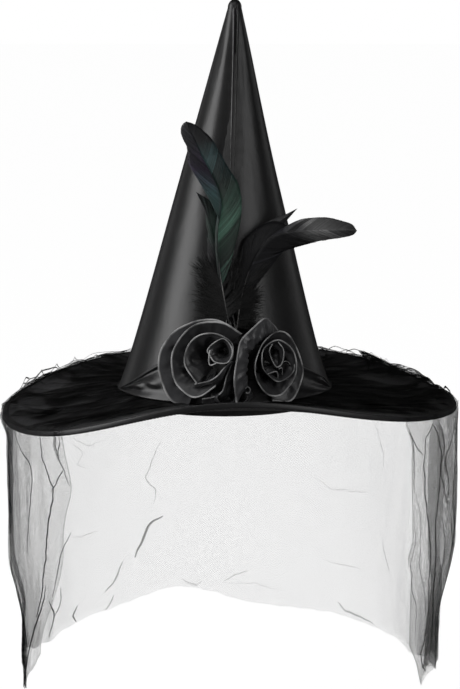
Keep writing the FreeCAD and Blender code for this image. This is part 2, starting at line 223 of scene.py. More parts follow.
def place(obj, body, replaces=()):
    """Rides a piece on a body and hides the CAD nodes it stands for."""
    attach(obj, body)
    if replaces:
        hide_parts(*replaces)
    return obj


def quads(rows, cols, wrap_rows=False, wrap_cols=False, start=0):
    """Faces of a grid of points, which may join its last row or column to its first."""
    i = np.arange(rows if wrap_rows else rows - 1)
    j = np.arange(cols if wrap_cols else cols - 1)
    a, b = np.meshgrid(i, j, indexing="ij")
    a2, b2 = (a + 1) % rows, (b + 1) % cols
    corners = [a * cols + b, a * cols + b2, a2 * cols + b2, a2 * cols + b]
    return np.stack(corners, -1).reshape(-1, 4) + start


def grid_normals(grid, wrap=False):
    """Unit normals of a (rows, cols, 3) grid, wrapping round its columns if asked."""
    down = np.gradient(grid, axis=0)
    if wrap:
        along = (np.roll(grid, -1, 1) - np.roll(grid, 1, 1)) / 2
    else:
        along = np.gradient(grid, axis=1)
    return unit(np.cross(along, down))


def sheet(name, grid, thickness, material, wrap=False, uv=None, side=0.0, attributes=None):
    """A closed thin sheet. side 0 centres it on the grid; 1 or -1 puts it all on one side."""
    rows, cols = grid.shape[:2]
    n = grid_normals(grid, wrap)
    half = thickness / 2
    top = (grid + n * (half + side * half)).reshape(-1, 3)
    low = (grid + n * (-half + side * half)).reshape(-1, 3)
    count = rows * cols
    upper = quads(rows, cols, wrap_cols=wrap)
    faces = [upper[:, ::-1], quads(rows, cols, wrap_cols=wrap, start=count)]
    first, last = np.arange(cols), np.arange(cols) + (rows - 1) * cols
    borders = [(first, wrap), (last[::-1], wrap)]
    if not wrap:
        left = np.arange(rows) * cols
        borders += [(left[::-1], False), (left + cols - 1, False)]
    for line, closed in borders:
        nxt = np.roll(line, -1) if closed else line[1:]
        cur = line if closed else line[:-1]
        faces.append(np.stack([cur, nxt, nxt + count, cur + count], -1))
    both = {k: np.concatenate([np.ravel(v)] * 2) for k, v in (attributes or {}).items()}
    uvs = None if uv is None else np.concatenate([uv.reshape(-1, 2)] * 2)
    verts = np.concatenate([top, low])
    return make_object(name, verts, np.concatenate(faces), material, uvs, both)


def loft(name, rings, material, wrap=True, attributes=None):
    """Closed rings of points joined in order: last to first if wrapped, else with capped ends."""
    count, sides = rings.shape[:2]
    faces = list(quads(count, sides, wrap_rows=wrap, wrap_cols=True))
    if not wrap:
        faces.append(np.arange(sides)[::-1])
        faces.append(np.arange(sides) + (count - 1) * sides)
    return make_object(name, rings.reshape(-1, 3), faces, material, attributes=attributes)


def strand_mesh(paths, width, depth, normal, sides):
    """Thin closed strands. paths (n, k, 3); width, depth (n, k); normal is their flat side's."""
    n, k = paths.shape[:2]
    tangent = unit(np.gradient(paths, axis=1))
    side = unit(np.cross(tangent, np.broadcast_to(normal, paths.shape)))
    up = np.cross(side, tangent)
    angle = np.arange(sides) * TAU / sides
    ring = (paths[:, :, None] + side[:, :, None] * (np.cos(angle) * width[..., None])[..., None]
            + up[:, :, None] * (np.sin(angle) * depth[..., None])[..., None])
    starts = np.arange(n) * k * sides
    faces = list((quads(k, sides, wrap_cols=True)[None] + starts[:, None, None]).reshape(-1, 4))
    for start in starts:
        faces.append(start + np.arange(sides)[::-1])
        faces.append(start + (k - 1) * sides + np.arange(sides))
    return ring.reshape(-1, 3), faces


def spline(points, count):
    """Evenly spaced points on a smooth (centripetal Catmull-Rom) curve through the given ones."""
    p = np.asarray(points, float)
    p = np.concatenate([[2 * p[0] - p[1]], p, [2 * p[-1] - p[-2]]])
    knots = np.concatenate([[0], np.cumsum(np.sqrt(np.linalg.norm(np.diff(p, axis=0), axis=1)))])
    out = []
    for i in range(1, len(p) - 2):
        (a, b, c, d), (ta, tb, tc, td) = p[i - 1:i + 3], knots[i - 1:i + 3]
        t = np.linspace(tb, tc, SPLINE_STEPS, endpoint=False)[:, None]
        ab = ((tb - t) * a + (t - ta) * b) / (tb - ta)
        bc = ((tc - t) * b + (t - tb) * c) / (tc - tb)
        cd = ((td - t) * c + (t - tc) * d) / (td - tc)
        abc = ((tc - t) * ab + (t - ta) * bc) / (tc - ta)
        bcd = ((td - t) * bc + (t - tb) * cd) / (td - tb)
        out.append(((tc - t) * abc + (t - tb) * bcd) / (tc - tb))
    dense = np.concatenate(out + [p[-2:-1]])
    run = run_along(dense)
    return along_line(dense, np.linspace(0, run[-1], count), run)


def along_line(line, at, run=None):
    """Points of a line at given distances; without its run, at shares of an evenly spaced line."""
    run = np.linspace(0, 1, len(line)) if run is None else run
    return np.stack([np.interp(at, run, column) for column in line.T], -1)


# ================================================================ materials
class Nodes:
    """A small builder over a material's node tree."""

    def __init__(self, name):
        self.material = bpy.data.materials.new(name)
        self.material.use_nodes = True
        self.tree = self.material.node_tree
        self.shader = self.tree.nodes["Principled BSDF"]
        self.out = self.tree.nodes["Material Output"]

    def add(self, kind, links=None, **values):
        """A node. Each value is one of its properties or, failing that, one of its inputs."""
        node = self.tree.nodes.new(kind)
        for key, value in values.items():
            if hasattr(node, key):
                setattr(node, key, value)
            else:
                node.inputs[key.replace("_", " ")].default_value = value
        for key, socket in (links or {}).items():
            self.tree.links.new(socket, node.inputs[key])
        return node

    def fill(self, node, sockets, values):
        """Gives input sockets a number, a colour or another node's output."""
        for key, value in zip(sockets, values):
            if isinstance(value, bpy.types.NodeSocket):
                self.tree.links.new(value, node.inputs[key])
            else:
                node.inputs[key].default_value = (*value, 1.0) if isinstance(value, tuple) else value

    def math(self, operation, *values):
        node = self.add("ShaderNodeMath", operation=operation)
        self.fill(node, range(len(values)), values)
        return node.outputs[0]

    def mix(self, factor, a, b, blend="MIX"):
        node = self.add("ShaderNodeMix", data_type="RGBA", blend_type=blend)
        self.fill(node, (0, 6, 7), (factor, a, b))
        return node.outputs[2]

    def position(self):
        return self.add("ShaderNodeTexCoord").outputs["Object"]

    def attribute(self, name):
        return self.add("ShaderNodeAttribute", attribute_name=name).outputs["Fac"]

    def mapped(self, socket, scale):
        return self.add("ShaderNodeMapping", {"Vector": socket}, Scale=scale).outputs[0]

    def noise(self, socket, scale, detail=3.0, rough=0.5):
        return self.add("ShaderNodeTexNoise", {"Vector": socket}, Scale=scale, Detail=detail,
                        Roughness=rough).outputs["Fac"]

    def ramp(self, socket, *stops):
        """Colours or grey shades at places from 0 to 1."""
        node = self.add("ShaderNodeValToRGB", {"Fac": socket})
        ramp = node.color_ramp
        while len(ramp.elements) < len(stops):
            ramp.elements.new(0.5)
        for element, (at, colour) in zip(ramp.elements, stops):
            element.position = at
            element.color = (*(colour if isinstance(colour, tuple) else (colour,) * 3), 1.0)
        return node.outputs[0]

    def bump(self, height, depth_mm, strength=1.0, normal=None):
        links = {"Height": height} if normal is None else {"Height": height, "Normal": normal}
        return self.add("ShaderNodeBump", links, Distance=depth_mm * MM, Strength=strength).outputs[0]

    def set(self, **values):
        self.fill(self.shader, [key.replace("_", " ") for key in values], values.values())
        return self.material


def weave_bump(m, pitch_mm, depth_mm):
    """A plain weave from two crossed waves, as a bump normal."""
    p = m.mapped(m.position(), (1 / (pitch_mm * MM),) * 3)
    threads = [m.add("ShaderNodeTexWave", {"Vector": p}, bands_direction=way, Scale=0.32)
               for way in ("DIAGONAL", "Z")]
    return m.bump(m.math("MULTIPLY", *(wave.outputs["Fac"] for wave in threads)), depth_mm, 0.6)


def satin(name, tone, rough, crinkle=0.25, detail=3.0, rim_highlight_tone=None):
    """Satin: soft sheen, fine weave and faint mottling. rim_highlight_tone paints a highlight on a
    ribbon's folded rims, unevenly.
    """
    m = Nodes(name)
    p = m.position()
    colour = m.ramp(m.noise(p, 38.0, 4.0), (0.3, tuple(tone * c for c in (0.72, 0.72, 0.76))),
                    (0.7, tuple(tone * c for c in (1.25, 1.25, 1.3))))
    if rim_highlight_tone:
        # painted highlight: the folded rim's colour is paled towards rim_highlight_tone, broken up by
        # noise
        uneven_highlight = m.ramp(m.noise(p, 60.0), (0.38, 0.12), (0.64, 1.0))
        colour = m.mix(m.math("MULTIPLY", m.attribute("rim"), uneven_highlight), colour, (rim_highlight_tone,) * 3)
    fine = m.noise(m.mapped(p, (1, 1, 0.35)), 900.0, 2.0)
    ripple = m.noise(m.mapped(p, (1, 1, 0.6)), 120.0, detail)
    return m.set(Base_Color=colour, Roughness=m.math("MULTIPLY_ADD", fine, 0.12, rough - 0.06),
                 Normal=m.bump(ripple, crinkle, 0.7, weave_bump(m, 0.5, 0.05)),
                 Specular_IOR_Level=0.5, Sheen_Weight=0.03, Sheen_Roughness=0.35)


def plain_cloth(name, tone, rough=0.8, pitch=0.6, sheen=0.05):
    """Matt woven cloth, faintly mottled."""
    m = Nodes(name)
    p = m.position()
    colour = m.ramp(m.noise(p, 55.0, 5.0), (0.3, 0.65 * tone), (0.7, 1.35 * tone))
    roughness = m.math("MULTIPLY_ADD", m.noise(p, 400.0), 0.15, rough - 0.07)
    return m.set(Base_Color=colour, Roughness=roughness, Normal=weave_bump(m, pitch, 0.12),
                 Sheen_Weight=sheen)


def felt(name, tone):
    """Matted fibres."""
    m = Nodes(name)
    fibres = m.noise(m.position(), 1500.0, 6.0, 0.7)
    colour = m.ramp(fibres, (0.25, tone * 0.5), (0.75, tone * 1.7))
    return m.set(Base_Color=colour, Roughness=0.95, Sheen_Weight=0.1, Normal=m.bump(fibres, 0.25))


def grosgrain(name, tone):
    """Matt ribbon cloth; its ribs are in the mesh."""
    m = Nodes(name)
    p = m.position()
    colour = m.ramp(m.noise(p, 70.0, 4.0), (0.3, tone * 0.7), (0.7, tone * 1.4))
    return m.set(Base_Color=colour, Roughness=0.72, Sheen_Weight=0.05,
                 Normal=m.bump(m.noise(p, 2200.0, 2.0), 0.08))


def metal(name, tone, rough):
    """Drawn metal with fine streaks."""
    m = Nodes(name)
    streak = m.noise(m.mapped(m.position(), (30, 30, 900)), 4.0, 5.0)
    return m.set(Base_Color=m.ramp(streak, (0.3, tone * 0.75), (0.7, tone)), Metallic=1.0,
                 Roughness=m.math("MULTIPLY_ADD", streak, 0.25, rough), Normal=m.bump(streak, 0.03))


def horn(name):
    """Feather shaft: near black and glossy, pale at its bare foot."""
    m = Nodes(name)
    streak = m.noise(m.mapped(m.position(), (1, 1, 0.12)), 900.0, 4.0)
    dark = m.ramp(streak, (0.3, (0.006, 0.006, 0.007)), (0.75, (0.02, 0.02, 0.02)))
    light = m.ramp(streak, (0.3, (0.07, 0.068, 0.065)), (0.75, (0.19, 0.185, 0.18)))
    return m.set(Base_Color=m.mix(m.attribute("pale"), dark, light), Roughness=0.34,
                 Normal=m.bump(streak, 0.05))


def barb_material(name, right_web, left_web=None, rough=0.45, sheen=0.03, gloss=0.35):
    """Feather barbs. Each web has (place along the feather, shade) stops, foot to tip.

    The zone attribute is the place along the feather, plus 2 on the left web.
    """
    m = Nodes(name)
    p, zone = m.position(), m.attribute("zone")
    patch = m.math("MULTIPLY_ADD", m.noise(p, 60.0), 0.16, -0.08)
    right = m.ramp(m.math("ADD", zone, patch), *right_web)
    left = m.ramp(m.math("ADD", m.math("SUBTRACT", zone, 2.0), patch), *(left_web or right_web))
    base = m.mix(m.math("GREATER_THAN", zone, 1.5), right, left)
    shade = m.ramp(m.attribute("strand"), (0.0, 0.3), (0.45, 0.85), (0.75, 1.5), (1.0, 3.2))
    return m.set(Base_Color=m.mix(1.0, base, shade, "MULTIPLY"), Roughness=rough, Sheen_Weight=sheen,
                 Sheen_Roughness=0.3, Specular_IOR_Level=gloss,
                 Normal=m.bump(m.noise(p, 2600.0, 2.0), 0.06))


def tulle(name):
    """Open net of two crossed sets of threads. Threads cover more as the net turns from the eye."""
    m = Nodes(name)
    uv = m.add("ShaderNodeUVMap", uv_map="cloth").outputs[0]
    u, v = m.add("ShaderNodeSeparateXYZ", {0: uv}).outputs[:2]
    geometry = m.add("ShaderNodeNewGeometry").outputs
    facing = m.add("ShaderNodeVectorMath", {0: geometry["Incoming"], 1: geometry["Normal"]},
                   operation="DOT_PRODUCT").outputs["Value"]
    cosine = m.math("MAXIMUM", m.math("ABSOLUTE", facing), 0.25)
    cover = m.math("DIVIDE", m.math("MULTIPLY", m.attribute("layers"), NET_COVER), cosine)
    masks = []
    for slope in (0.62, -0.62):
        along = m.math("MULTIPLY_ADD", v, slope, u)
        step = m.math("FRACT", m.math("DIVIDE", along, NET_PITCH * MM))
        centred = m.math("ABSOLUTE", m.math("SUBTRACT", step, 0.5))
        masks.append(m.math("LESS_THAN", centred, m.math("MULTIPLY", cover, 0.5)))
    front = m.math("SUBTRACT", 1.0, geometry["Backfacing"])
    thread = m.math("MULTIPLY", m.math("MAXIMUM", *masks), front)
    m.set(Base_Color=m.ramp(m.noise(m.position(), 60.0), (0.3, 0.006), (0.7, 0.012)), Roughness=0.5,
          Specular_IOR_Level=0.3, Normal=m.bump(thread, 0.1))
    clear = m.add("ShaderNodeBsdfTransparent").outputs[0]
    blend = m.add("ShaderNodeMixShader", {0: thread, 1: clear, 2: m.shader.outputs[0]})
    m.tree.links.new(blend.outputs[0], m.out.inputs["Surface"])
    return m.material


# ================================================================ crown
SEAM_DRIFT = 3.4          # the seams wander this far (mm) round the crown on their way up
SEAM_CROWDING = 0.11      # how much closer together the columns are at the seams
LIP, LIP_AT, LIP_HALF_W = 0.9, 1.6, 0.8
GATHER, GATHER_FADE = 0.07, 9.0
TIP_H = 6.0               # the part of the crown's height that rounds over
SWAG_FIRST, SWAG_LAST = -77, 79        # degrees
SWAG_RISE, SWAG_FOOT, SWAG_T = 34.0, 1.3, 0.6


def crown_relief(turn, z):
    """Height of the satin over the plain cone: seam lips, puckers and soft dents."""
    r = crown_radius(z)
    front = np.mod(turn + PI, TAU) - PI
    relief = 0.8 * DENTS(np.sin(turn) * 60, np.cos(turn) * 60, z * 0.5, size=80)
    relief = relief + 0.07 * DENTS(np.sin(turn) * 90, np.cos(turn) * 90, z, size=30)
    relief = relief * smooth(0, 40, z) * smooth(CROWN_H, CROWN_H - 60, z)
    pucker = 1 + 0.45 * np.sin(TAU * z / 9.5 + 1.4 * np.sin(z / 17.0))
    for across, strength in ((front * r, 1.0), ((np.abs(front) - PI) * r, 0.8)):
        lips = bump(across, LIP_AT, LIP_HALF_W) + bump(across, -LIP_AT, LIP_HALF_W)
        lips = LIP * lips * (0.75 + 0.25 * pucker)
        groove = -LIP * bump(across, 0, 0.7)
        gather = GATHER * np.exp(-np.abs(across) / GATHER_FADE) * np.sin(TAU * z / 12.5 + across * 0.25)
        relief = relief + strength * (lips + groove + gather) * smooth(CROWN_H + 2, CROWN_H - 12, z)
    return relief


def crown_point(turn, z, out=0.0):
    r = np.maximum(crown_radius(z) + out, 0.15)
    return np.stack([crown_lean(z) + r * np.sin(turn), -r * np.cos(turn), z], -1)


def build_crown(material):
    """Two gores that meet in puckered seams at the front and back, closed over the tip."""
    rows, cols = 230, 170
    z = np.linspace(CROWN_FOOT, CROWN_H - TIP_H, rows)[:, None]
    cap = np.linspace(0, PI / 2, 9)[1:, None]
    tip_r = crown_radius(CROWN_H - TIP_H)
    tip_z = CROWN_H - TIP_H + tip_r * 1.3 * np.sin(cap)
    squeeze = tip_r * np.cos(cap) + 0.1
    drift = SEAM_DRIFT / (crown_radius(z) + 12)
    share = np.linspace(0, 1, cols)
    share = share - SEAM_CROWDING * np.sin(TAU * share)
    for side, first in (("left", -PI), ("right", 0.0)):
        turn = (first + PI * share)[None, :]
        wall = crown_point(turn + drift, z + 0 * turn, crown_relief(turn, z))
        turn = turn + drift[-1]
        dome = np.stack(np.broadcast_arrays(crown_lean(tip_z) + squeeze * np.sin(turn),
                                            -squeeze * np.cos(turn), tip_z), -1)
        obj = sheet(f"crown_satin_{side}", np.concatenate([wall, dome]), GORE_T, material, side=-1.0)
        place(obj, "hat", [f"crown_gore_{side}"])


def swag_top(turn):
    """Height of the draped band's upper edge: a long rise on the left, low on the right."""
    left = SWAG_RISE * smooth(rad(-76), rad(-28), turn)
    right = smooth(rad(78), rad(20), turn)
    rise = left * (0.25 + 0.75 * right) * smooth(rad(80), rad(66), turn)
    return 3.5 + rise + 3.0 * bump(turn, rad(52), 0.3)


def build_swag(material):
    """Crescent of draped satin with folds that fan out from behind the flowers."""
    rows, cols = 44, 300
    turn = np.radians(np.linspace(SWAG_FIRST, SWAG_LAST, cols))[None, :]
    share = np.linspace(0, 1, rows)[:, None]
    z = SWAG_FOOT + (swag_top(turn) - SWAG_FOOT) * share
    ends = smooth(rad(-78), rad(-66), turn) * smooth(rad(80), rad(68), turn)
    fan = np.sin(9.5 * share ** 0.8 + 6.0 * turn + 1.2 * np.sin(5 * turn))
    small = FOLDS(turn * 90, z * 1.5, 0 * z, size=17)
    folds = (1.7 * fan + 0.45 * small) * np.sin(PI * share) + 1.8 * bump(share, 0.95, 0.07)
    grid = crown_point(turn, z, np.maximum(2.8 + ends * folds, 1.1))
    place(sheet("front_swag_satin", grid, SWAG_T, material), "hat", ["front_swag"])


# ================================================================ brim
PLY_T = 0.5
STITCHES, STITCH_LENGTH = 430, 0.72          # length as a share of the pitch
STITCH_HALF_W, STITCH_DIP = 0.22, 0.28
STITCH_INSET = 1.1                           # from the binding's inner edge
BAND_R, BAND_T = 89.5, 0.9
BAND_UPRIGHT, BAND_LEAN = 3.5, 5.6           # height at which it begins to lean in, and how far
RIBS, RIB_H = 240, 0.16


def build_brim(top_material, under_material):
    turn = np.linspace(0, TAU, 400, endpoint=False)[None, :]
    radius = np.linspace(BRIM_HOLE_R, PLY_R, 60)[:, None]
    ripple = 0.25 * FOLDS(np.sin(turn) * radius, np.cos(turn) * radius, 0, size=60)
    grid = brim_point(turn, radius + 0 * turn, ripple * smooth(BRIM_FLAT_R, 130, radius) - 0.2)
    place(sheet("brim_top_satin", grid[:, ::-1], PLY_T, top_material, wrap=True), "hat",
          ["brim_top_fabric"])
    grid = brim_point(turn, radius + 0 * turn, -BRIM_DEPTH + 0.2 + 0.4 * ripple)
    place(sheet("brim_under_cloth", grid, PLY_T, under_material, wrap=True), "hat",
          ["brim_under_fabric"])


def build_binding(material, thread_material):
    """A U of folded tape, rounded over the rim, and a row of machine stitches above and below."""
    turns = np.linspace(0, TAU, 560, endpoint=False)
    half = BRIM_DEPTH / 2 + 0.55
    arc = np.linspace(PI / 2, -PI / 2, 9)
    outer = [(-BINDING_W, half), *((-0.9 + 0.9 * math.cos(a) ** 0.7, half * math.sin(a)) for a in arc),
             (-BINDING_W, -half)]
    inner = [(u - 0.5 if u < -1 else u - 0.45, w * 0.84) for u, w in outer[::-1]]
    inner[0], inner[-1] = (-BINDING_W, -half + 0.4), (-BINDING_W, half - 0.4)
    rings = []
    for u, w in outer + inner:
        wave = 0.12 * np.sin(turns * 190) * (1 if abs(w) > 1.5 else 0.3)
        rings.append(brim_point(turns, BRIM_R + u + 0 * turns, w - BRIM_DEPTH / 2 + wave))
    rings = np.stack(rings, 1)
    place(loft("edge_binding", rings[:, ::-1], material), "hat", ["brim_edge_binding"])

    share = np.linspace(0, 1, 5)
    turn = (np.arange(STITCHES)[:, None] + STITCH_LENGTH * share[None, :]) * TAU / STITCHES
    size = np.full(turn.shape, STITCH_HALF_W)
    for name, way in (("edge_stitches_top", 1), ("edge_stitches_under", -1)):
        lift = way * (half + 0.06 + STITCH_DIP * (np.sin(PI * share) - 0.35)) - BRIM_DEPTH / 2
        paths = brim_point(turn, BRIM_R - BINDING_W + STITCH_INSET + 0 * turn, lift)
        verts, faces = strand_mesh(paths, size, size, np.array([0, 0, 1.0]), 5)
        place(make_object(name, verts, faces, thread_material), "hat")


def build_sweatband(material):
    """Grosgrain band with real ribs and a turned lower edge."""
    turn = np.linspace(0, TAU, 3 * RIBS, endpoint=False)[None, :]
    lo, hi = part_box("sweatband")
    bottom, top = lo.z / MM, hi.z / MM
    z = np.concatenate([np.linspace(bottom, BAND_UPRIGHT, 12), np.linspace(5, top, 8)])[:, None]
    lean_in = np.maximum(z - BAND_UPRIGHT, 0) / (top - BAND_UPRIGHT) * BAND_LEAN
    hem = 0.35 * bump(z, bottom + 2.6, 0.5)
    r = BAND_R - lean_in + RIB_H * np.sin(turn * RIBS) - hem
    grid = np.stack([r * np.sin(turn), -r * np.cos(turn), z + 0 * turn], -1)
    obj = sheet("sweatband_grosgrain", grid, BAND_T, material, wrap=True)
    place(obj, "hat", ["sweatband"])


# ================================================================ veil
DRAPE_FIRST, DRAPE_LAST = -44.0, -310.0          # degrees; the hanging cloth's two front edges
GATHER_FIRST, GATHER_LAST = -17.0, -343.0        # the same edges where it is gathered at the crown
DROP = 250.0             # the veil's fall, for the spacing of its creases
CLOTH_DENSE = 5.0        # columns are this much closer together at the pleats
BRIM_PLEATS = 52
PEAK = 0.426             # the most that q * exp(-q * q) reaches
LOOPS_EACH = 9
STRIP_SIDES, STRIP_POINTS = 6, 48
STRIP_NET_SCALE = 2.3    # the net looks finer where a fold piles its layers up
FOLD_SCALE = np.array([3.58, DROP / 100])    # mm per degree round the rim, and per percent of the fall
FOLD_PROUD = 0.5

# Each pleat: width of its two turns (mm), then its path down the cloth as (percent of the fall,
# azimuth in degrees, half the width of the strip it doubles in mm).
PLEATS = (
    (4.0, ((0, -74, 7), (20, -76, 5), (45, -78, 3), (62, -74, 5), (85, -68, 7), (100, -64, 5))),
    (4.0, ((0, -84, 8), (30, -86, 5), (50, -85, 4), (70, -80, 7), (100, -73, 7))),
    (4.0, ((0, -96, 8), (30, -95, 5), (60, -95, 3), (80, -92, 6), (100, -88, 7))),
    (5.0, ((0, -299.5, 1), (3, -299.5, 3), (8, -299, 12), (21, -298, 17), (40, -300, 10),
           (53, -300, 8), (68, -297, 10), (84, -294, 12), (100, -297, 10))),
    (1.8, ((3, -276, 3), (11, -277, 3), (20, -281, 2), (36, -285, 1.0), (50, -276, 0.6))),
    (3.0, ((0, -271, 5), (20, -272, 4), (50, -275, 3), (75, -278, 7), (100, -277, 7))),
    (3.0, ((0, -262, 5), (30, -264, 3), (60, -262, 2), (85, -266, 5), (100, -268, 5))),
)
# Pinched folds: half width (mm), layers of net, and the path as (azimuth, percent of the fall).
FOLD_LINES = (
    (0.8, 5.0, ((-66, 2), (-64.5, 8), (-59.5, 12), (-57.5, 18), (-58, 24), (-60, 34), (-61.5, 46))),
    (1.0, 6.0, ((-52.5, 2), (-52.5, 10), (-50.5, 18), (-49.5, 23), (-50.5, 35), (-51, 46), (-52, 57),
                (-52, 70), (-53.5, 76))),
    (0.7, 4.0, ((-50, 24), (-48, 19), (-45.5, 16))),
    (0.8, 4.0, ((-44.6, 2), (-46, 9), (-45.5, 15), (-44.4, 23))),
    (2.0, 3.0, ((-46.6, 0), (-46.8, 5), (-46.5, 12))),
    (0.7, 4.0, ((-80, 5), (-76, 12), (-72, 20), (-73, 29), (-74, 38))),
    (1.0, 4.0, ((-84, 6), (-80, 18), (-76, 34), (-77.5, 48))),
    (1.2, 6.0, ((-76, 55), (-79, 68), (-76, 78), (-69, 88), (-63, 98))),
    (0.9, 6.0, ((-74, 68), (-66, 79), (-60, 88), (-61, 98))),
    (0.9, 5.0, ((-50.5, 62), (-50, 71), (-53, 80), (-57, 90), (-61, 97))),
    (0.8, 4.5, ((-132.5, 64), (-129.5, 68), (-127, 74), (-125.5, 80), (-124, 85))),
    (1.0, 5.0, ((-122, 85), (-124.5, 91), (-123.5, 95), (-122, 99))),
    (0.7, 4.0, ((-128, 83), (-127.5, 89), (-126.5, 91), (-124.5, 93))),
    (1.0, 4.0, ((-134.5, 94), (-133, 97), (-134, 100))),
    (1.2, 4.5, ((-161.5, 70), (-158, 72), (-155, 78), (-153.5, 83))),
    (0.8, 3.0, ((-149.5, 83), (-148, 88), (-144, 93))),
    (0.6, 3.0, ((-146.5, 95), (-145.5, 98), (-144, 100))),
    (0.6, 1.5, ((-161, 39), (-158.5, 46), (-157, 52), (-159.5, 59), (-159, 64))),
    (0.4, 1.3, ((-133, 31), (-136, 35), (-134.5, 39), (-137.5, 41))),
    (0.8, 2.8, ((-211, 96), (-215.5, 98), (-222, 99))),
    (0.5, 1.6, ((-225, 65), (-226, 70), (-228, 76))),
    (0.45, 1.1, ((-207, 81), (-211.5, 81), (-218.5, 80))),
    (0.5, 1.6, ((-179, 94), (-181.5, 91), (-185, 88))),
    (0.9, 1.2, ((-167, 97), (-169.5, 99), (-172.5, 97))),
    (0.4, 1.1, ((-133, 28), (-138.5, 33), (-143.5, 33))),
    (0.4, 1.1, ((-202.5, 49), (-208, 53), (-213, 52), (-219, 51))),
    (0.4, 1.0, ((-178, 95), (-185.5, 93), (-194.5, 94))),
    (0.4, 1.1, ((-133, 66), (-135, 67), (-141.5, 68))),
    (0.4, 1.0, ((-219, 16), (-223, 24), (-226, 34), (-225, 44))),
    (0.8, 4.0, ((-309.6, 4), (-309.8, 10), (-309.6, 16), (-309.5, 33))),
    (0.6, 4.0, ((-310, 7), (-308.5, 13), (-306, 16))),
    (1.0, 5.0, ((-301, 4), (-304, 8), (-305, 15), (-305, 26), (-304, 37), (-302.5, 47), (-302.5, 62),
                (-301, 77))),
    (1.1, 6.0, ((-301, 4), (-298, 9), (-296, 16), (-298, 31), (-299.5, 41), (-299.5, 55), (-299, 69),
                (-296, 80), (-297, 91), (-302, 98))),
    (0.8, 5.0, ((-297, 5), (-294, 13), (-296.5, 22), (-293.5, 31), (-291, 37))),
    (0.8, 5.0, ((-281, 2), (-288, 12), (-293.5, 19), (-290.5, 27), (-291.5, 36))),
    (0.9, 5.0, ((-274, 2), (-278, 18), (-276, 36), (-280, 49), (-283, 62), (-286, 72), (-288, 82),
                (-290, 95))),
    (0.6, 3.0, ((-309.5, 45), (-309, 58), (-309.8, 69), (-309.5, 76), (-307.5, 80), (-307.5, 93))),
    (0.8, 4.0, ((-296, 40), (-293.5, 49), (-294.5, 61), (-295.5, 70))),
    (0.9, 6.0, ((-301, 79), (-302.5, 85), (-304, 93), (-300.5, 98))),
    (0.8, 4.0, ((-288.5, 39), (-285, 52), (-288, 63))),
    (0.6, 3.0, ((-309, 33), (-307, 41), (-307, 56), (-304, 69), (-301.5, 79))),
)
# Patches of the brim under a thin layer: azimuth and radius, and half their size in degrees and mm.
BARE_PATCHES = ((-108, 172, 12, 24), (-80, 178, 11, 14), (-63, 194, 7, 7), (111, 158, 9, 25),
                (97, 184, 8, 9), (152, 180, 8, 14), (-152, 182, 8, 14), (-176, 150, 8, 18))
# Where loops of net stand over the rim: azimuths of the zone's ends, and the tallest loop in mm.
LOOP_ZONES = ((-108, -134, 9.0), (-132, -165, 5.0), (150, 122, 7.5), (125, 92, 6.0), (-165, -200, 3.5))
# Height of the hem's sides and tails over its plain part: azimuth, added millimetres.
HEM_SIDES = ((-44, 35), (-52, 13), (-62, -12), (-67, -9), (-78, 8), (-88, 12), (-98, 0), (-110, -11),
             (-122, -15), (-130, -9), (-140, -2), (-150, 0), (-208, 0), (-215, -3.5), (-227, -11),
             (-238, -17), (-245, -16), (-262, 4), (-275, 12), (-287, 12), (-297, 20), (-303, 16),
             (-306, 34), (-310, 55))
HEM_Z = -256.0


def hem_height(turn):
    """Height of the hem: a notch behind, left of the middle, and a tail at each front corner."""
    azimuth = np.degrees(turn)
    at, added = np.array(HEM_SIDES)[::-1].T
    return HEM_Z + 17.0 * bump(azimuth, -166, 14) - 4.0 * np.sin(turn) + np.interp(azimuth, at, added)


def pleat_at(distance, width, depth):
    """Sideways and outward shift of cloth near a pleat, whose middle part doubles back on itself."""
    q = distance / width
    pull = q * np.exp(-q * q)
    return -depth * width * pull, -0.7 * width * pull


def cloth_columns(count):
    """Turns of the drape's columns, closer together where the pleats run."""
    fine = np.linspace(DRAPE_FIRST, DRAPE_LAST, 5000)
    dense = np.ones(len(fine))
    for _, path in PLEATS:
        azimuths = [azimuth for _, azimuth, _ in path]
        off = np.maximum(np.maximum(min(azimuths) - fine, fine - max(azimuths)), 0)
        dense = dense + CLOTH_DENSE * np.exp(-(off / 1.3) ** 2)
    run = np.concatenate([[0], np.cumsum(np.minimum(dense[1:], 1 + 1.4 * CLOTH_DENSE))])
    return np.radians(np.interp(np.linspace(0, run[-1], count), run, fine))


def net_strips(name, paths, outward, half_width, layers, material):
    """Pinched folds of net: dense, tapering strips along paths (n, k, 3)."""
    k = paths.shape[1]
    width = half_width[:, None] * np.sin(PI * np.linspace(0.05, 0.95, k)) ** 0.5
    verts, faces = strand_mesh(paths, width, 0.35 * width, outward, STRIP_SIDES)
    u = np.cos(np.arange(STRIP_SIDES) * TAU / STRIP_SIDES) * width[..., None]
    uv = np.stack([u, run_along(paths)[..., None] + 0 * u], -1).reshape(-1, 2) * MM * STRIP_NET_SCALE
    return make_object(name, verts, faces, material, uv, {"layers": np.repeat(layers, k * STRIP_SIDES)})


def net_coordinates(grid, row):
    """Cloth coordinates in metres: distance round the hat along one row, and down the cloth."""
    u, v = run_along(grid[row]), run_along(np.swapaxes(grid, 0, 1)).mean(axis=0)
    return np.stack(np.broadcast_arrays(u[None, :], v[:, None]), -1) * MM


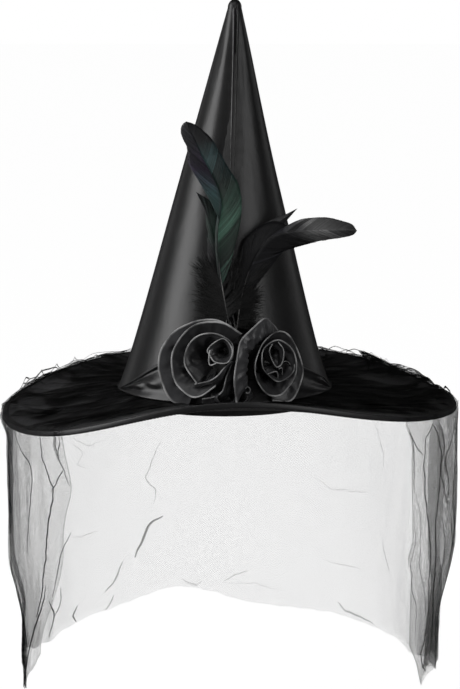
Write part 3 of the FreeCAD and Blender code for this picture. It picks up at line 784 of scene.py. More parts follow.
def build_veil_on_brim(material):
    """Tulle gathered at the crown's foot that spreads over the brim in flat, doubled folds."""
    rows, cols = 50, 900
    rng = np.random.default_rng(SEED + 7)
    share = np.linspace(0, 1, rows)[:, None] ** 0.85
    along = np.linspace(0, 1, cols)[None, :]
    inner = np.radians(GATHER_FIRST + (GATHER_LAST - GATHER_FIRST) * along)
    outer = np.radians(DRAPE_FIRST + (DRAPE_LAST - DRAPE_FIRST) * along)
    turn = inner + (outer - inner) * share ** 1.8
    radius = VEIL_IN_R + (VEIL_OUT_R - VEIL_IN_R) * share
    centres = (np.arange(BRIM_PLEATS) + rng.uniform(-0.35, 0.35, BRIM_PLEATS) + 0.5) / BRIM_PLEATS
    sideways, rise = 0.0, 0.0
    for centre in centres:
        width = (3.0 + 8.5 * share) * rng.uniform(0.75, 1.25)
        depth = rng.uniform(2.0, 3.4)
        wander = 0.012 * np.sin(rng.uniform(2, 6) * share + rng.uniform(0, TAU)) * share
        reach = (along - centre - wander) * rad(DRAPE_FIRST - DRAPE_LAST) * radius
        slide, lift = pleat_at(reach, width, depth * smooth(1.0, 0.88, share))
        sideways, rise = sideways + slide, rise + np.abs(lift) * 0.30
    turn = turn - sideways / radius
    grid = brim_point(turn, radius + 0 * turn, VEIL_LIFT)

    flat_rim = smooth(1.0, 0.93, share)
    side = np.abs(np.sin(outer)) ** 2 * np.where(np.cos(outer) < 0.3, 1.0, 0.3)
    rumple = np.abs(RUMPLE(outer * 150, share * 60, 0 * turn, size=46))
    rumple = rumple + 0.35 * np.abs(RUMPLE_FINE(outer * 150, share * 60, 0 * turn, size=17))
    puff = (5.0 * smooth(0.45, 0.9, share) * side + 0.9 * smooth(0, 0.08, share)) * flat_rim
    grid[..., 2] += rumple * puff + np.minimum(rise, 2.2) * smooth(1.0, 0.9, share)

    bare = 0.0
    edge = 0.12 * RUMPLE_FINE(turn * 150, radius, 0 * turn, size=20)
    for azimuth, middle, half_turn, half_r in BARE_PATCHES:
        out = (radius - middle) / half_r
        around = np.degrees(np.mod(turn - rad(azimuth) + PI, TAU) - PI) / half_turn
        bare = np.maximum(bare, smooth(1.1, 0.85, np.hypot(around + 0.25 * out, out) + edge))
    streak = RUMPLE_FINE(turn * 150, radius * 0.25, 0 * turn, size=12)
    layers = 0.5 + (1.2 + 0.9 * streak) * (1 - bare) * flat_rim
    obj = sheet("tulle_on_brim", grid, VEIL_T, material, uv=net_coordinates(grid, rows // 2),
                attributes={"layers": layers})
    place(obj, "hat", ["veil_on_brim"])


def build_rim_loops(material):
    """Small loops of pinched net that stand over the rim at the sides and back."""
    rng = np.random.default_rng(SEED + 9)
    count = len(LOOP_ZONES) * LOOPS_EACH
    s = np.linspace(0, 1, STRIP_POINTS)[None, :]
    first, last, tall = np.repeat(np.array(LOOP_ZONES), LOOPS_EACH, axis=0).T[:, :, None]
    middle = first + (last - first) * rng.uniform(0, 1, (count, 1))
    span = rng.uniform(4.0, 13.0, (count, 1))
    turn = np.radians(middle + span * (s - 0.5) + rng.uniform(-1, 1, (count, 1)) * np.sin(TAU * s))
    arch = np.sin(PI * s) ** rng.uniform(0.6, 1.4, (count, 1))
    height = 0.6 + tall * rng.uniform(0.25, 1.0, (count, 1)) * arch * (1 + 0.1 * np.sin(2 * TAU * s))
    paths = brim_point(turn, BRIM_R + rng.uniform(-9.0, 1.0, (count, 1)) * arch, height)
    half_width, layers = rng.uniform(0.3, 0.8, count), rng.uniform(2.0, 5.0, count)
    obj = net_strips("tulle_rim_loops", paths, radial(turn), half_width, layers, material)
    place(obj, "hat")


def drape_surface(turn, fall):
    """The hanging cloth without its pleats: it draws in at the sides and swings at its front edges."""
    left, right = bump(turn, rad(-86), 0.60), bump(turn, rad(-270), 0.52)
    inward = (6.0 * left + 1.0 * right) * smooth(0.0, 0.10, fall)
    inward = inward + 12.0 * left * smooth(0.58, 0.84, fall) + 16.0 * right * smooth(0.52, 0.86, fall)
    corner = smooth(rad(-100), rad(-44), turn)
    edge_l, edge_r = smooth(rad(-58), rad(-44), turn), smooth(rad(-302), rad(-310), turn)
    swing = -11 * corner * smooth(0.50, 1.0, fall) ** 1.1 + 2.6 * edge_l * bump(fall, 0.24, 0.11)
    swing = swing - edge_r * (3.0 * smooth(0.14, 0.0, fall) + 1.8 * bump(fall, 0.62, 0.05))
    angle = turn + np.radians(swing)
    radius = VEIL_OUT_R - inward
    rim = brim_point(turn, np.full(turn.shape, VEIL_OUT_R), VEIL_LIFT)[..., 2]
    wall = np.stack([BRIM_SHIFT + radius * np.sin(angle), -radius * np.cos(angle),
                     rim + (hem_height(turn) - rim) * fall], -1)
    wave = 3.5 * WANDER(turn * BRIM_R, fall * DROP * 0.5, 0 * turn, size=170)
    wave = wave * smooth(0.0, 0.4, fall) * (1 - 0.6 * gathered(turn))
    return wall + radial(turn) * wave[..., None]


def gathered(turn):
    """0 behind, where the veil hangs almost plain, to 1 at the pleated sides."""
    return smooth(44, 66, np.abs(np.degrees(turn) + 180))


def build_veil_drape(material):
    """Tulle that hangs from the rim: pleated at the sides, almost plain behind."""
    rows, cols = 46, 1040
    fall = np.linspace(0, 1, rows)[:, None] ** 1.1
    turn = cloth_columns(cols)[None, :] + 0 * fall
    across, down, flat = turn * BRIM_R, fall * DROP, 0 * turn
    sideways, outward = 0.0, 0.0
    for width, path in PLEATS:
        percent, azimuth, half = np.array(path).T
        at = percent / 100
        live = smooth(at[0] - 0.04, at[0] + 0.02, fall) if at[0] > 0 else 1.0
        live = live * (smooth(at[-1] + 0.06, at[-1] - 0.03, fall) if at[-1] < 1 else 1.0)
        wobble = 0.7 * np.sin(23 * fall + azimuth[0])
        reach = (turn - np.radians(np.interp(fall, at, azimuth))) * BRIM_R + wobble
        slide, lift = pleat_at(reach, width, (np.interp(fall, at, half) / width + 0.65) / PEAK)
        sideways, outward = sideways + slide * live, outward + lift * live
    crumple = CRUMPLE(across, down * 0.7, flat, size=34)
    crumple = crumple + 0.4 * CRUMPLE(across, down, flat + 9, size=13)
    outward = outward + (0.22 + 0.30 * gathered(turn)) * crumple * smooth(0.0, 0.06, fall)
    grid = drape_surface(turn, fall) + radial(turn) * outward[..., None]
    grid = grid + radial(turn + PI / 2) * sideways[..., None]
    ragged = 0.7 * CRUMPLE(across, flat, flat, size=26)
    ragged = ragged + 3.0 * gathered(turn) * CRUMPLE(across, flat, flat, size=60)
    grid[..., 2] += ragged * smooth(0.75, 1.0, fall)
    azimuth = np.degrees(turn)
    bundle = (1.1 * bump(azimuth, -72, 14) + 0.3 * bump(azimuth, -296, 12)) * smooth(0.68, 0.95, fall)
    layers = 1.0 - 0.42 * bump(azimuth, -62, 22) + bundle
    sway(sheet("tulle_drape", grid, VEIL_T, material, uv=net_coordinates(grid, rows * 2 // 3),
               attributes={"layers": layers}), "veil_drape")


def build_veil_folds(material):
    """The drape's pinched folds, which stand just proud of the cloth."""
    *looks, lines = zip(*FOLD_LINES)
    half_width, layers = np.array(looks)
    paths = np.array([spline(np.array(line) * FOLD_SCALE, STRIP_POINTS) for line in lines])
    azimuth, run = paths[..., 0] / FOLD_SCALE[0], paths[..., 1]
    line = 40.0 * np.arange(len(lines))[:, None]
    azimuth = azimuth + 0.25 * CRUMPLE(run, line, 3 * azimuth, size=16)
    fall = run / DROP + 0.004 * CRUMPLE(3 * azimuth, line, 0 * run, size=12)
    turn = np.radians(azimuth)
    points = drape_surface(turn, np.clip(fall, 0, 1)) + radial(turn) * FOLD_PROUD
    sway(net_strips("tulle_folds", points, radial(turn), half_width, layers, material))


def sway(obj, *replaced):
    """Bakes the hanging net's transform into its mesh and hides the CAD nodes it stands for."""
    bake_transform(obj)
    if replaced:
        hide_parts(*replaced)


# ================================================================ roses
RIBBON_STEP = 0.75           # between the points along a rim
WALL_HALF_T, BEAD_R = 0.28, 0.5


def node_points(node):
    return np.array([v.co for v in frame["nodes"][node].data.vertices]) / MM


def disc_frame(node):
    """Centre and axes (right, up, out) of a thin CAD disc that faces the front."""
    co = node_points(node)
    _, _, axes = np.linalg.svd(co - co.mean(0), full_matrices=False)
    out = axes[2] if axes[2][1] < 0 else -axes[2]
    right = unit(np.cross([0, 0, 1.0], -out))
    right = -right if right[0] < 0 else right
    up = np.cross(out, right)
    return (co.max(0) + co.min(0)) / 2, right, up if up[2] > 0 else -up, out


def ribbon_fold(name, place_at, rim, foot, seed, material):
    """A fold of ribbon: a wrinkled wall from the rose's foot to a soft doubled edge along the rim.

    q runs up the wall from 0 to 1, and along runs round the rim in millimetres.
    """
    centre, right, up, out = place_at
    cx, cy, foot_share, foot_h, flare = foot
    length = run_along(np.array(rim))[-1]
    line = spline(rim, max(24, int(length / RIBBON_STEP)))[:, None]
    along = np.linspace(0, length, len(line))[:, None]
    q = np.concatenate([np.linspace(0, 0.93, 19), (0.955, 0.975, 0.99, 1.0)])[None, :]
    flat = 0 * q
    noise = Noise(seed, 14)
    body = np.sin(PI * np.clip(q * 1.03, 0, 1)) ** 0.7
    pleat = 1.6 * np.abs(noise(along, q * 9, flat, size=13)) * (1 - q) ** 0.6 * smooth(0, 0.1, q)
    crush = 1.5 * noise(along * 0.8 + 90, q * 26, flat, size=13) * body
    edge_wave = 0.35 * noise(along, flat, 3.0, size=24) * q ** 3
    foot_at = np.array([cx, cy])
    away = line[..., :2] - foot_at
    reach = foot_share + (1 - foot_share) * q ** 1.35
    spread = foot_at + away * reach[..., None] + unit(away) * (pleat + crush + edge_wave)[..., None]
    climb = (1 - flare) * (1.25 * q - 0.25 * q ** 2) + flare * (1 - (1 - q) ** 3)
    height = foot_h + (line[..., 2] - foot_h) * climb + 0.5 * noise(along, flat, 7.0, size=30) * q ** 4
    height = height + 1.3 * flare * noise(along, q * 14, 5.0, size=11) * body
    wall = np.concatenate([spread, height[..., None]], -1)

    n = grid_normals(wall)
    edge = unit(wall[:, -1] - wall[:, -2])
    half = WALL_HALF_T + (BEAD_R - WALL_HALF_T) * smooth(0.92, 0.985, q)[..., None]
    bead = [wall[:, -1] + BEAD_R * (n[:, -1] * math.cos(t) + edge * math.sin(t))
            for t in np.linspace(0, PI, 7)[1:-1]]
    loop = np.concatenate([wall + n * half, np.stack(bead, 1), (wall - n * half)[:, ::-1]], 1)
    # where the satin's painted highlight goes: the bead along the folded rim
    lit = smooth(0.955, 0.99, q) + 0 * along
    lit = np.concatenate([lit, np.ones((len(line), len(bead))), lit[:, ::-1]], 1)
    world = centre + loop[..., :1] * right + loop[..., 1:2] * up + loop[..., 2:] * out
    return loft(name, world, material, wrap=False, attributes={"rim": lit})


# Each fold: its CAD nodes, the foot (centre x and y, share of the rim's distance, height, and how soon
# the fold flares out: 0 slowly, 1 at once) and the rim's points (x, y, height) as the rose faces us.
LEFT_FOLDS = {
    "outer": (("outer_petal",), (-2.0, -2.0, 0.38, 1.6, 0.0),
              ((31, 26, 9), (19, 36, 14), (4, 37.5, 16), (-17, 31, 17), (-30, 21, 17), (-39, 8, 17),
               (-41, -7, 16.5), (-36, -23, 15.5), (-27, -35.5, 14), (-13.5, -42, 11))),
    "second": (("middle_petal",), (3.0, 1.0, 0.38, 1.9, 0.0),
               ((36.5, 27.5, 12), (21, 36, 18), (1.5, 34.5, 20), (-12, 27.5, 20), (-23.5, 13, 20),
                (-26.5, 1, 20), (-20.5, -19.5, 20), (-4.5, -29.5, 20), (5, -28, 19), (16, -19, 16))),
    "third": (("inner_petal",), (9.0, 4.0, 0.42, 2.2, 0.0),
              ((0.5, -18, 21), (-11.5, -2, 23), (-10, 12.5, 23), (2, 24, 23), (19, 26, 22.5),
               (32, 19.5, 21), (32, 7.5, 18), (28, 2.5, 15))),
    "lower": ((), (11.0, 4.0, 1.22, 8.0, 0.0),
              ((-2.5, -19, 20), (12, -15, 22), (20, -9.5, 22), (30.5, 3.5, 18))),
    "lip": ((), (8.0, -2.0, 1.16, 5.0, 0.0),
            ((30, 2, 15), (26, -12, 17), (22.5, -22.5, 15), (16.5, -27.5, 13), (0.5, -32, 10))),
    "bud": (("centre_roll",), (21.0, 12.0, 0.35, 9.0, 0.0),
            ((13.5, 6.5, 25), (10.5, 11.5, 25.5), (16, 18.5, 25.5), (26, 23, 25), (34, 13.5, 24),
             (30.5, 3, 23.5), (18.5, 2, 24.5), (12.5, 7.5, 24.5))),
    "bud_facet": ((), (17.0, 9.0, 0.3, 12.0, 0.0),
                  ((13, 12, 24), (12.5, 6, 24.5), (13, -1, 23), (20, 1, 23.5))),
}
RIGHT_FOLDS = {
    "outer": (("outer_petal",), (2.0, -2.0, 0.42, 3.0, 1.0),
              ((20.5, 24.5, 9), (10.5, 31.5, 15), (1, 37, 18), (-11, 32, 19), (-28, 20, 19),
               (-35, 0, 18), (-36.5, -12.5, 17), (-32.5, -33, 12))),
    "spiral": (("middle_petal", "inner_petal"), (7.0, -2.0, 0.45, 2.0, 0.0),
               ((8.5, -36, 10), (24.5, -37, 16), (36, -19, 19), (36.5, -6, 20), (25.5, 18.5, 20),
                (13.5, 24.5, 20.5), (-9, 12.5, 20.5), (-16.5, -9, 20.5), (-6, -27, 20.5),
                (9.5, -30.5, 21), (27.5, -14, 21), (27, 3.5, 22), (11, 17, 22), (-6.5, 10.5, 22),
                (-8.5, -5.5, 22), (7.5, -18.5, 22), (25, -12, 21.5), (28, -5, 20))),
    "core": (("centre_roll",), (6.0, 5.0, 0.45, 8.0, 0.0),
             ((9, 15.5, 23.5), (13.5, 8, 23.5), (10, -3.5, 23), (5, -5.5, 23), (-1, 9, 23),
              (2.5, 14.5, 23.5))),
    "crease_a": ((), (6.0, 4.0, 0.6, 10.0, 0.0), ((-1.5, -11.5, 17), (8, -10, 19), (11, -18, 16))),
    "crease_b": ((), (6.0, 4.0, 0.6, 10.0, 0.0), ((16.5, -3, 19), (20, -2.5, 20), (25, -6, 18))),
    "crease_c": ((), (6.0, 4.0, 0.6, 10.0, 0.0), ((10.5, -8, 19), (13.5, -7.5, 20), (16.5, -16.5, 17))),
    "curl": ((), (-21.5, -23.0, 0.75, 6.0, 0.0),
             ((-24, -25, 15), (-21.5, -26, 15.5), (-19, -24.5, 15.5), (-19, -21.5, 15.5),
              (-21.5, -20, 15), (-24, -21.5, 14.5))),
}


LOOP_R, LOOP_T = 6.4, 0.6


def build_roses(material, creased_lit_material):
    """Each rose's folds on its felt disc. The outermost fold is of softer, more creased ribbon, and its
    satin is painted paler: painted light on faces that the lamps leave dim.
    """
    for side, folds, seed in (("left", LEFT_FOLDS, SEED + 40), ("right", RIGHT_FOLDS, SEED + 60)):
        at = disc_frame(f"rose_{side}_felt_backing")
        for i, (part, (stands_for, foot, rim)) in enumerate(folds.items()):
            # the outer fold's paler satin is painted light
            cloth = creased_lit_material if part == "outer" else material
            obj = ribbon_fold(f"rose_{side}_{part}_ribbon", at, rim, foot, seed + i, cloth)
            place(obj, "hat", [f"rose_{side}_{node}" for node in stands_for])


def build_ribbon_loops(material):
    """Two small folded loops of ribbon that lie on the brim between the roses."""
    lo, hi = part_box("ribbon_loops")
    mid, size = (lo + hi) / 2 / MM, (hi - lo) / MM
    s = np.linspace(0, 1, 60)[:, None]
    q = np.linspace(-0.5, 0.5, 15)[None, :]
    a = TAU * (s * 0.96 + 0.27)
    for i, (dx, dy, degrees) in enumerate(((-7.5, -1.0, 25.0), (7.5, 2.0, -22.0))):
        r = LOOP_R * (1 + 0.08 * np.cos(2 * a)) + 0.45 * np.sin(5 * a + i) * (0.4 + q ** 2)
        x, z = r * 1.25 * np.cos(a), r * 0.86 * np.sin(a)
        y = q * size.y * 0.62 + 0.5 * np.sin(3 * a)
        c, s_ = math.cos(rad(degrees)), math.sin(rad(degrees))
        grid = np.stack([dx + c * x - s_ * y, dy + s_ * x + c * y, z + 0 * y], -1) + np.array(mid)
        obj = sheet(f"ribbon_loop_{i + 1}", grid, LOOP_T, material)
        place(obj, "hat", ["ribbon_loops"] if i == 0 else [])


# ================================================================ feathers
# name: centreline (right, up) from the pivot; bow out of the plane; the webs. Each web has its side,
# the part of the quill its barbs leave, and the outline of their tips, from the web's foot to its end.
FEATHERS = {
    "tall": (((0, 0), (-6.5, 33.5), (-10.5, 62), (-11, 89), (-8, 109), (-10.5, 122.5), (-17.5, 138.5),
              (-25.5, 153.5), (-36.5, 177.5), (-39, 182.5)), 9.0, (
        (1, 0.22, 0.975, ((-7.5, 43.5), (-1.5, 55.5), (2.5, 71.5), (8.5, 97), (9, 120), (5.5, 132),
                          (-1.5, 142.5), (-10.5, 158.5), (-18, 170), (-32, 181), (-39, 183))),
        (-1, 0.52, 0.975, ((-20, 126.5), (-29, 134.5), (-35.5, 144), (-38.5, 152), (-38.5, 160),
                           (-42.5, 169.5), (-44, 175), (-42.5, 180.5), (-39, 183))),
        (-1, 0.2, 0.52, ((-11, 45), (-12.5, 62), (-13.5, 89), (-11.5, 103.5), (-10, 110.5))))),
    "short": (((0, 0), (-5.6, 32), (-12.6, 58), (-18.7, 82.5), (-24.8, 103.5), (-34.5, 123)), -0.8, (
        (-1, 0.12, 0.85, ((-9.5, 33), (-16, 43), (-22, 52.5), (-26, 63.5), (-26, 80), (-27, 105),
                          (-30, 116), (-34.5, 123))),
        (1, 0.12, 0.85, ((-6, 30), (-8.5, 58), (-10.5, 80), (-10, 94.5), (-11.5, 105.5), (-19.5, 114),
                         (-34.5, 123))))),
    "curl": (((0, 0), (4, 28), (10.5, 52), (18.5, 69.5), (29.5, 83), (42.5, 87.5), (76, 89.5),
              (104.5, 89)), 7.0, (
        (-1, 0.12, 0.975, ((1.5, 34.5), (4, 51), (6.5, 79), (13.5, 88.5), (29.5, 97.5), (37.5, 97.5),
                           (45.5, 94), (56, 99), (66.5, 100.5), (80, 100.5), (93.5, 97), (101, 94),
                           (104.5, 89))),
        (1, 0.12, 0.975, ((8, 30.5), (21.5, 47), (29.5, 56), (41.5, 71), (52, 74.5), (73.5, 79.5),
                          (102, 85), (105, 88.5))))),
    "spike": (((0, 0), (4, 36), (15, 66), (34, 90), (58, 109)), 1.0, (
        (-1, 0.2, 0.9, ((5.5, 43), (10.5, 70), (21.5, 90), (35, 99), (48, 104), (58, 109))),
        (1, 0.2, 0.9, ((11, 38), (21, 63), (36, 83.5), (45, 94.5), (51, 101), (58, 109))))),
}
# How split a web's edge is, where it isn't whole.
RAGGED = {("tall", -1): 0.35, ("short", -1): 1.0, ("short", 1): 0.4, ("curl", 1): 0.3}
# Middle and half width of the part of each shaft that shows pale.
PALE_QUILL = {"tall": (0.2, 0.05), "short": (0.025, 0.025), "curl": (0.115, 0.085),
              "spike": (0.025, 0.025)}
# Down: side, strands, part of the quill they leave, lean (degrees) at its foot and top, reach.
DOWN = {
    "tall": (-1, 1700, (0.06, 0.25), (96, 44), 32.0),
    "curl": (1, 1800, (0.03, 0.34), (94, 45), 25.0),
}
LINE_POINTS = 401
BARB_STEP = 0.36
BARB_LAG = 1.45          # above 1 the barbs lean towards the tip
BARB_HALF_W = 0.5
BARB_POINTS, BARB_SIDES = 9, 4
CLUMP_CHANCE = 0.045     # of a new clump of barbs at each barb
QUILL_HALF_W, QUILL_SIDES = 0.48, 8
DOWN_PLUMES, DOWN_POINTS = 46, 9
DOWN_HALF_W = 0.33
COIL_TURNS, COIL_STEPS = 13, 44
THREAD_HALF_W = 0.36


def spray_axes(name):
    """A feather's pivot, and the axes (right, up, out) of the plane it bends in."""
    joint = next(j for j in frame["joints"] if j["name"] == f"feather_{name}_bend")
    out, right = unit(np.array(joint["axis"], float)), np.array([1.0, 0, 0])
    return np.array(joint["pos_m"]) / MM, right, np.cross(out, right), out


def barb_paths(line, web, rng, ragged):
    """Paths of one web's barbs from the quill to the outline, with each barb's place and clump."""
    sign, first, last, outline = web
    edge = spline(outline, LINE_POINTS)
    count = int(run_along(edge)[-1] / BARB_STEP)
    t = np.linspace(0, 1, count)
    clump = np.cumsum(rng.random(count) < CLUMP_CHANCE * (1 + 2 * ragged))
    clumps = clump.max() + 1
    middle = (np.bincount(clump, t) / np.maximum(np.bincount(clump), 1))[clump]
    pull = rng.uniform(0.0, 0.14 + 0.5 * ragged, clumps)[clump] * (1 - t ** 3)
    root = first + (last - first) * t ** BARB_LAG
    base = along_line(line, root)
    tip = along_line(edge, np.clip(t + (middle - t) * pull, 0, 1))
    step = unit(along_line(line, np.clip(root + 0.02, 0, 1)) - base)
    normal = np.stack([step[:, 1], -step[:, 0]], -1) * sign
    reach = np.linalg.norm(tip - base, axis=1, keepdims=True)
    short = rng.uniform(0.0, 0.22 * ragged, clumps)[clump] * (1 - t ** 3)
    short = short + rng.uniform(0.0, 0.02, count)
    tip = tip - (tip - base) * short[:, None]
    bend = base + (tip - base) * 0.45 + normal * reach * 0.10 * (1 - t ** 5)[:, None]
    q = np.linspace(0, 1, BARB_POINTS)[None, :, None]
    paths = (1 - q) ** 2 * base[:, None] + 2 * q * (1 - q) * bend[:, None] + q ** 2 * tip[:, None]
    return paths, root, clump


def build_feather(name, barb_look, quill_material, seed):
    """A feather's barbs and shaft. Returns its map to the frame and its centreline, for the down."""
    points, bow, webs = FEATHERS[name]
    pivot, right, up, out = spray_axes(name)
    line = spline(points, LINE_POINTS)
    rng = np.random.default_rng(seed)

    def world(p, depth):
        return pivot + p[..., :1] * right + p[..., 1:] * up + depth[..., None] * out

    verts, faces, zones, strands = [], [], [], []
    q = np.linspace(0, 1, BARB_POINTS)[None, :]
    for web in webs:
        paths, share, clump = barb_paths(line, web, rng, RAGGED.get((name, web[0]), 0.0))
        count, clumps = len(paths), clump.max() + 1
        width = np.linalg.norm(paths[:, -1] - paths[:, 0], axis=1)[:, None]
        depth = bow * share[:, None] ** 2.2 - 0.045 * width * q ** 2
        depth = depth + 0.35 * rng.uniform(-1, 1, clumps)[clump][:, None] * q
        depth = depth + rng.uniform(-0.05, 0.05, (count, 1)) * q
        fat = BARB_HALF_W * (1 - 0.35 * q ** 2) * (1 - 0.6 * smooth(0.88, 1, q)) * np.ones((count, 1))
        start = sum(map(len, verts))
        ring, sides = strand_mesh(world(paths, depth), fat, fat * 0.16 + 0.03, out, BARB_SIDES)
        verts.append(ring)
        faces += [face + start for face in sides]
        zone = np.clip(share[:, None] + 0.12 * q, 0, 1) + (0 if web[0] > 0 else 2)
        zones.append(np.repeat(zone, BARB_SIDES))
        strand = 0.5 + 0.2 * rng.normal(size=clumps)[clump] + 0.12 * rng.normal(size=count)
        strands.append(np.repeat(np.clip(strand, 0, 1), BARB_POINTS * BARB_SIDES))
    vane = make_object(f"feather_{name}_barbs", np.concatenate(verts), faces, barb_look,
                       attributes={"zone": np.concatenate(zones), "strand": np.concatenate(strands)})
    place(vane, f"feather_{name}", [f"feather_{name}_vane"])

    # the shaft, with a stub below the pivot
    share = np.linspace(0, 0.97, 90)
    body = np.concatenate([[[0, -7.5], [0, -3.5]], along_line(line, share)])
    radius = QUILL_HALF_W * (1 - share) ** 1.3 + 0.1
    depth = np.concatenate([[0, 0], bow * share ** 2.2 - radius * smooth(0.24, 0.4, share)])
    radius = np.concatenate([[0.7, 0.7], radius])[None]
    verts, faces = strand_mesh(world(body, depth)[None], radius, radius, out, QUILL_SIDES)
    pale = {"pale": np.repeat(np.concatenate([[0, 0], bump(share, *PALE_QUILL[name])]), QUILL_SIDES)}
    quill = make_object(f"feather_{name}_shaft", verts, faces, quill_material, attributes=pale)
    place(quill, f"feather_{name}", [f"feather_{name}_quill"])
    return world, line


def build_down(name, world, line, material, seed):
    """Loose downy strands, in plumes that curl out and up from the lower quill."""
    sign, count, (first, last), (lean_foot, lean_top), length = DOWN[name]
    rng = np.random.default_rng(seed)
    plume = rng.integers(0, DOWN_PLUMES, count)
    plume_at = rng.uniform(0, 1, DOWN_PLUMES)
    root_at = np.clip(plume_at[plume] + rng.normal(0, 0.02, count), 0, 1)
    root = along_line(line, first + (last - first) * root_at)
    lean = lean_foot + (lean_top - lean_foot) * plume_at + rng.normal(0, 9, DOWN_PLUMES)
    backward = np.where(rng.random(DOWN_PLUMES) < 0.22, -0.6, 1.0)
    lean = np.radians(lean[plume] + rng.normal(0, 8, count)) * sign * backward[plume]
    length = length * rng.uniform(0.5, 1.0, DOWN_PLUMES)[plume] * rng.uniform(0.35, 1.05, count)
    q = np.linspace(0, 1, DOWN_POINTS)[None, :]
    curl = (0.35 + 0.35 * rng.normal(size=(count, 1))) * -np.sign(lean)[:, None]
    angle = lean[:, None] + curl * q ** 1.3
    step = np.stack([np.sin(angle), np.cos(angle)], -1) * length[:, None, None] / (DOWN_POINTS - 1)
    paths = root[:, None] + np.cumsum(step, 1) - step
    depth = rng.uniform(-1.6, 0.6, (count, 1)) * np.minimum(q * 2, 1)
    size = DOWN_HALF_W * (1 - 0.5 * q) * np.ones((count, 1))
    verts, faces = strand_mesh(world(paths, depth), size, size, np.array([0, -1.0, 0.25]), 3)
    obj = make_object(f"feather_{name}_down_strands", verts, faces, material)
    place(obj, f"feather_{name}", [f"feather_{name}_down"])


def build_coil(material):
    """Waxed thread wound round the quills, as one coil over the CAD sleeve's outline."""
    _, right, up, out = spray_axes("tall")
    points = node_points("spray_binding") @ np.stack([right, up, out], 1)
    lo, hi = points.min(0), points.max(0)
    a = np.linspace(0, COIL_TURNS * TAU, COIL_TURNS * COIL_STEPS)

    def across(wave, axis):
        """A rounded rectangle's wave between the sleeve's two sides."""
        half = (hi[axis] - lo[axis]) / 2 - 0.3
        return np.sign(wave) * np.abs(wave) ** 0.45 * half + (hi[axis] + lo[axis]) / 2

    rise = lo[1] + 0.4 + (hi[1] - lo[1] - 0.8) * a / a[-1]
    path = np.stack([across(np.cos(a), 0), rise, across(np.sin(a), 2)], 1) @ np.stack([right, up, out])
    size = np.full((1, len(a)), THREAD_HALF_W)
    verts, faces = strand_mesh(path[None], size, size, up, 6)
    place(make_object("spray_thread_coil", verts, faces, material), "hat")


# ================================================================ scene
FLOOR_GAP, FLOOR_REACH = 34.0, 9000.0
PAPER_GLOW = 0.985
FILL_LIGHT = 0.022
VIEW_ELEVATION = 9.8
VIEW_DISTANCE = 2.6                                  # metres
VIEW_X, VIEW_UP, VIEW_HEIGHT = 5.0, 36.5, 620.0      # the frame's centre and height
LIT_POINT = Vector((0, 0, 0.06))                     # metres
# name: azimuth from the front, elevation, distance (m), width and height (m), power (W)
LIGHTS = {
    "key_left": (-75, 18, 1.8, (1.2, 1.7), 26.0),
    "fill_right": (42, 9, 1.9, (1.2, 1.5), 12.5),
    "edge_right": (126, 14, 1.8, (0.35, 1.5), 1.1),
    "edge_left": (-138, 14, 1.8, (0.35, 1.5), 0.7),
    "top_soft": (-12, 56, 1.9, (1.2, 0.8), 5.0),
}


def aim(obj, target, azimuth, elevation, distance):
    """Stands a lamp or camera away from its target, facing it."""
    a, e = rad(azimuth), rad(elevation)
    back = Vector((math.sin(a) * math.cos(e), -math.cos(a) * math.cos(e), math.sin(e)))
    obj.location = target + back * distance
    obj.rotation_mode = "QUATERNION"
    obj.rotation_quaternion = back.to_track_quat("Z", "Y")
    bpy.context.scene.collection.objects.link(obj)


def build_floor():
    """A wide pale floor. It glows to the eye, as lit studio paper does."""
    across = np.linspace(-FLOOR_REACH, FLOOR_REACH, 40)
    level = cad_box[0].z / MM - FLOOR_GAP
    grid = np.stack(np.broadcast_arrays(across[None], across[:, None], level), -1)
    m = Nodes("studio_paper")
    eye = m.add("ShaderNodeLightPath").outputs["Is Camera Ray"]
    tone = m.mix(eye, m.ramp(m.noise(m.position(), 3.0), (0.4, 0.17), (0.6, 0.19)), (0.05, 0.05, 0.05))
    m.set(Base_Color=tone, Roughness=0.9, Emission_Color=(1.0, 1.0, 1.0),
          Emission_Strength=m.math("MULTIPLY", eye, PAPER_GLOW))
    make_object("studio_floor", grid.reshape(-1, 3), quads(*grid.shape[:2]), m.material)


def build_lights():
    """Soft boxes either side of the front, thin ones at the edges and one above."""
    world = bpy.data.worlds.new("studio")
    bpy.context.scene.world = world
    world.use_nodes = True
    tree = world.node_tree
    eye = tree.nodes.new("ShaderNodeLightPath").outputs["Is Camera Ray"]
    level = tree.nodes.new("ShaderNodeMapRange")
    level.inputs["To Min"].default_value, level.inputs["To Max"].default_value = FILL_LIGHT, 1.0
    tree.links.new(eye, level.inputs["Value"])
    background = tree.nodes["Background"]
    background.inputs["Color"].default_value = (1, 1, 1, 1)
    tree.links.new(level.outputs[0], background.inputs["Strength"])
    for name, (azimuth, elevation, distance, size, power) in LIGHTS.items():
        light = bpy.data.lights.new(name, "AREA")
        light.shape = "RECTANGLE"
        light.size, light.size_y = size
        light.energy = power
        aim(bpy.data.objects.new(name, light), LIT_POINT, azimuth, elevation, distance)


def build_camera():
    """A long lens from the front, a little above, that fills the frame's height."""
    data = bpy.data.cameras.new("camera")
    data.sensor_width = 36
    data.lens = data.sensor_width * VIEW_DISTANCE / (VIEW_HEIGHT * MM)
    data.clip_start, data.clip_end = 0.1, 30
    e = rad(VIEW_ELEVATION)
    target = Vector((VIEW_X, math.sin(e) * VIEW_UP, math.cos(e) * VIEW_UP)) * MM
    camera = bpy.data.objects.new("camera", data)
    aim(camera, target, 0, VIEW_ELEVATION, VIEW_DISTANCE)
    bpy.context.scene.camera = camera


def build_stage():
    build_floor()
    build_lights()
    build_camera()
    bpy.context.scene.view_settings.view_transform = "Standard"
    bpy.context.scene.cycles.transparent_max_bounces = 64


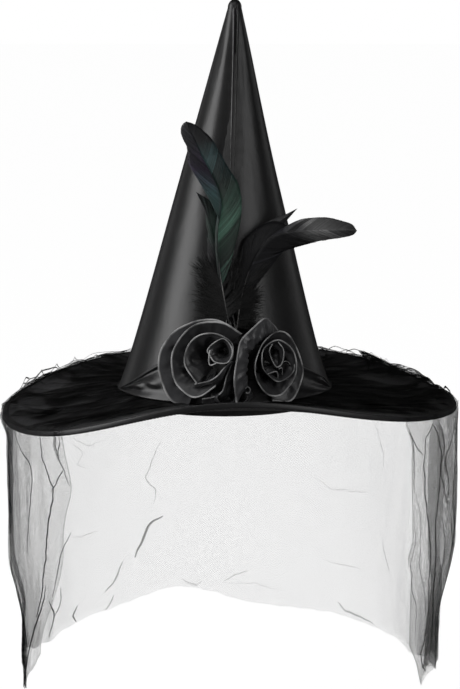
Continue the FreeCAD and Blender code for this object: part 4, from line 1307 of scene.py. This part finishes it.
# ================================================================ build
# Shades, black to grey, and the cock feathers' greens and plum.
BLACK, SOOT = (0.004, 0.004, 0.005), (0.012, 0.012, 0.014)
ASH, GREY = (0.045, 0.045, 0.046), (0.12, 0.12, 0.12)
DEEP_GREEN, GREEN = (0.014, 0.030, 0.023), (0.036, 0.080, 0.057)
TEAL, PLUM = (0.026, 0.050, 0.052), (0.024, 0.018, 0.034)


def dress_cad_nodes():
    """Finishes for the inner pieces that stay as the CAD made them."""
    tape = plain_cloth("seam_tape_cloth", 0.045)
    backing = felt("backing_felt", 0.025)
    finishes = {
        "crown_front_seam_tape": tape,
        "crown_back_seam_tape": tape,
        "crown_stiffener": plain_cloth("buckram_cloth", 0.06, 0.85, 1.1),
        "crown_lining": plain_cloth("lining_cloth", 0.02, 0.55, 0.4),
        "brim_interlining": felt("interlining_felt", 0.05),
        "brim_edge_wire": metal("spring_wire", 0.5, 0.25),
        "wire_joining_sleeve": metal("joining_tube", 0.58, 0.3),
        "rose_left_felt_backing": backing,
        "rose_right_felt_backing": backing,
        "mount_patch": felt("patch_felt", 0.025),
        "spray_binding": plain_cloth("binding_core_cloth", 0.02),
    }
    for node, material in finishes.items():
        frame["nodes"][node].data.materials[0] = material


def build_feathers():
    """The four feathers, with down at the feet of two."""
    quill = horn("quill_horn")
    tall_right = ((0.1, BLACK), (0.3, DEEP_GREEN), (0.5, GREEN), (0.68, DEEP_GREEN), (0.8, TEAL),
                  (0.9, BLACK))
    tall_left = ((0.2, SOOT), (0.5, DEEP_GREEN), (0.62, TEAL), (0.75, PLUM), (0.9, SOOT))
    short = ((0.2, BLACK), (0.5, SOOT), (0.7, DEEP_GREEN))
    curl = ((0.2, BLACK), (0.64, BLACK), (0.72, ASH), (0.8, GREY), (1.0, ASH))
    spike = ((0.2, BLACK), (0.6, SOOT), (0.85, ASH))
    kinds = {
        "tall": (barb_material("green_barbs", tall_right, tall_left), "green_feather"),
        "short": (barb_material("short_barbs", (*short, (0.95, SOOT)), (*short, (0.85, SOOT))),
                  "green_feather"),
        "curl": (barb_material("grey_barbs", curl, rough=0.6, sheen=0.01, gloss=0.22), "grey_feather"),
        "spike": (barb_material("dark_barbs", spike), "dark_feather"),
    }
    fluff = plain_cloth("down_barbs", 0.004, 0.75, 0.3, sheen=0.0)
    for i, (name, (barbs, slot)) in enumerate(kinds.items()):
        world, line = build_feather(name, barbs, quill, SEED + 100 + i)
        if name in DOWN:
            build_down(name, world, line, fluff, SEED + 120 + i)


def main():
    # The roses' satin is paler than the crown's: painted sheen on their faces. rim_highlight_tone
    # paints a highlight on their rims.
    ribbon = satin("rose_satin", 0.036, 0.30, 0.3, 1.0, rim_highlight_tone=0.5)
    thread = plain_cloth("sewing_thread", 0.03, 0.6, 0.3)
    net = tulle("tulle_net")
    build_crown(satin("crown_satin", 0.009, 0.35))
    build_swag(satin("swag_satin", 0.012, 0.34, 0.2))
    # the brim's satin is paler than the crown's: a painted sheen for the light its upper face catches
    build_brim(satin("brim_satin", 0.06, 0.42), plain_cloth("under_cloth", 0.008, 0.85))
    build_binding(satin("binding_satin", 0.013, 0.42, 0.1), thread)
    build_sweatband(grosgrain("grosgrain_ribbon", 0.012))
    build_veil_on_brim(net)
    build_rim_loops(net)
    build_veil_drape(net)
    build_veil_folds(net)
    # the outer folds' satin is paler still: painted light on their dim faces, with deeper creases
    build_roses(ribbon, satin("rose_satin_creased_lit", 0.065, 0.30, 0.9, 1.0, rim_highlight_tone=0.5))
    build_ribbon_loops(ribbon)
    build_feathers()
    build_coil(thread)
    dress_cad_nodes()
    build_stage()


main()
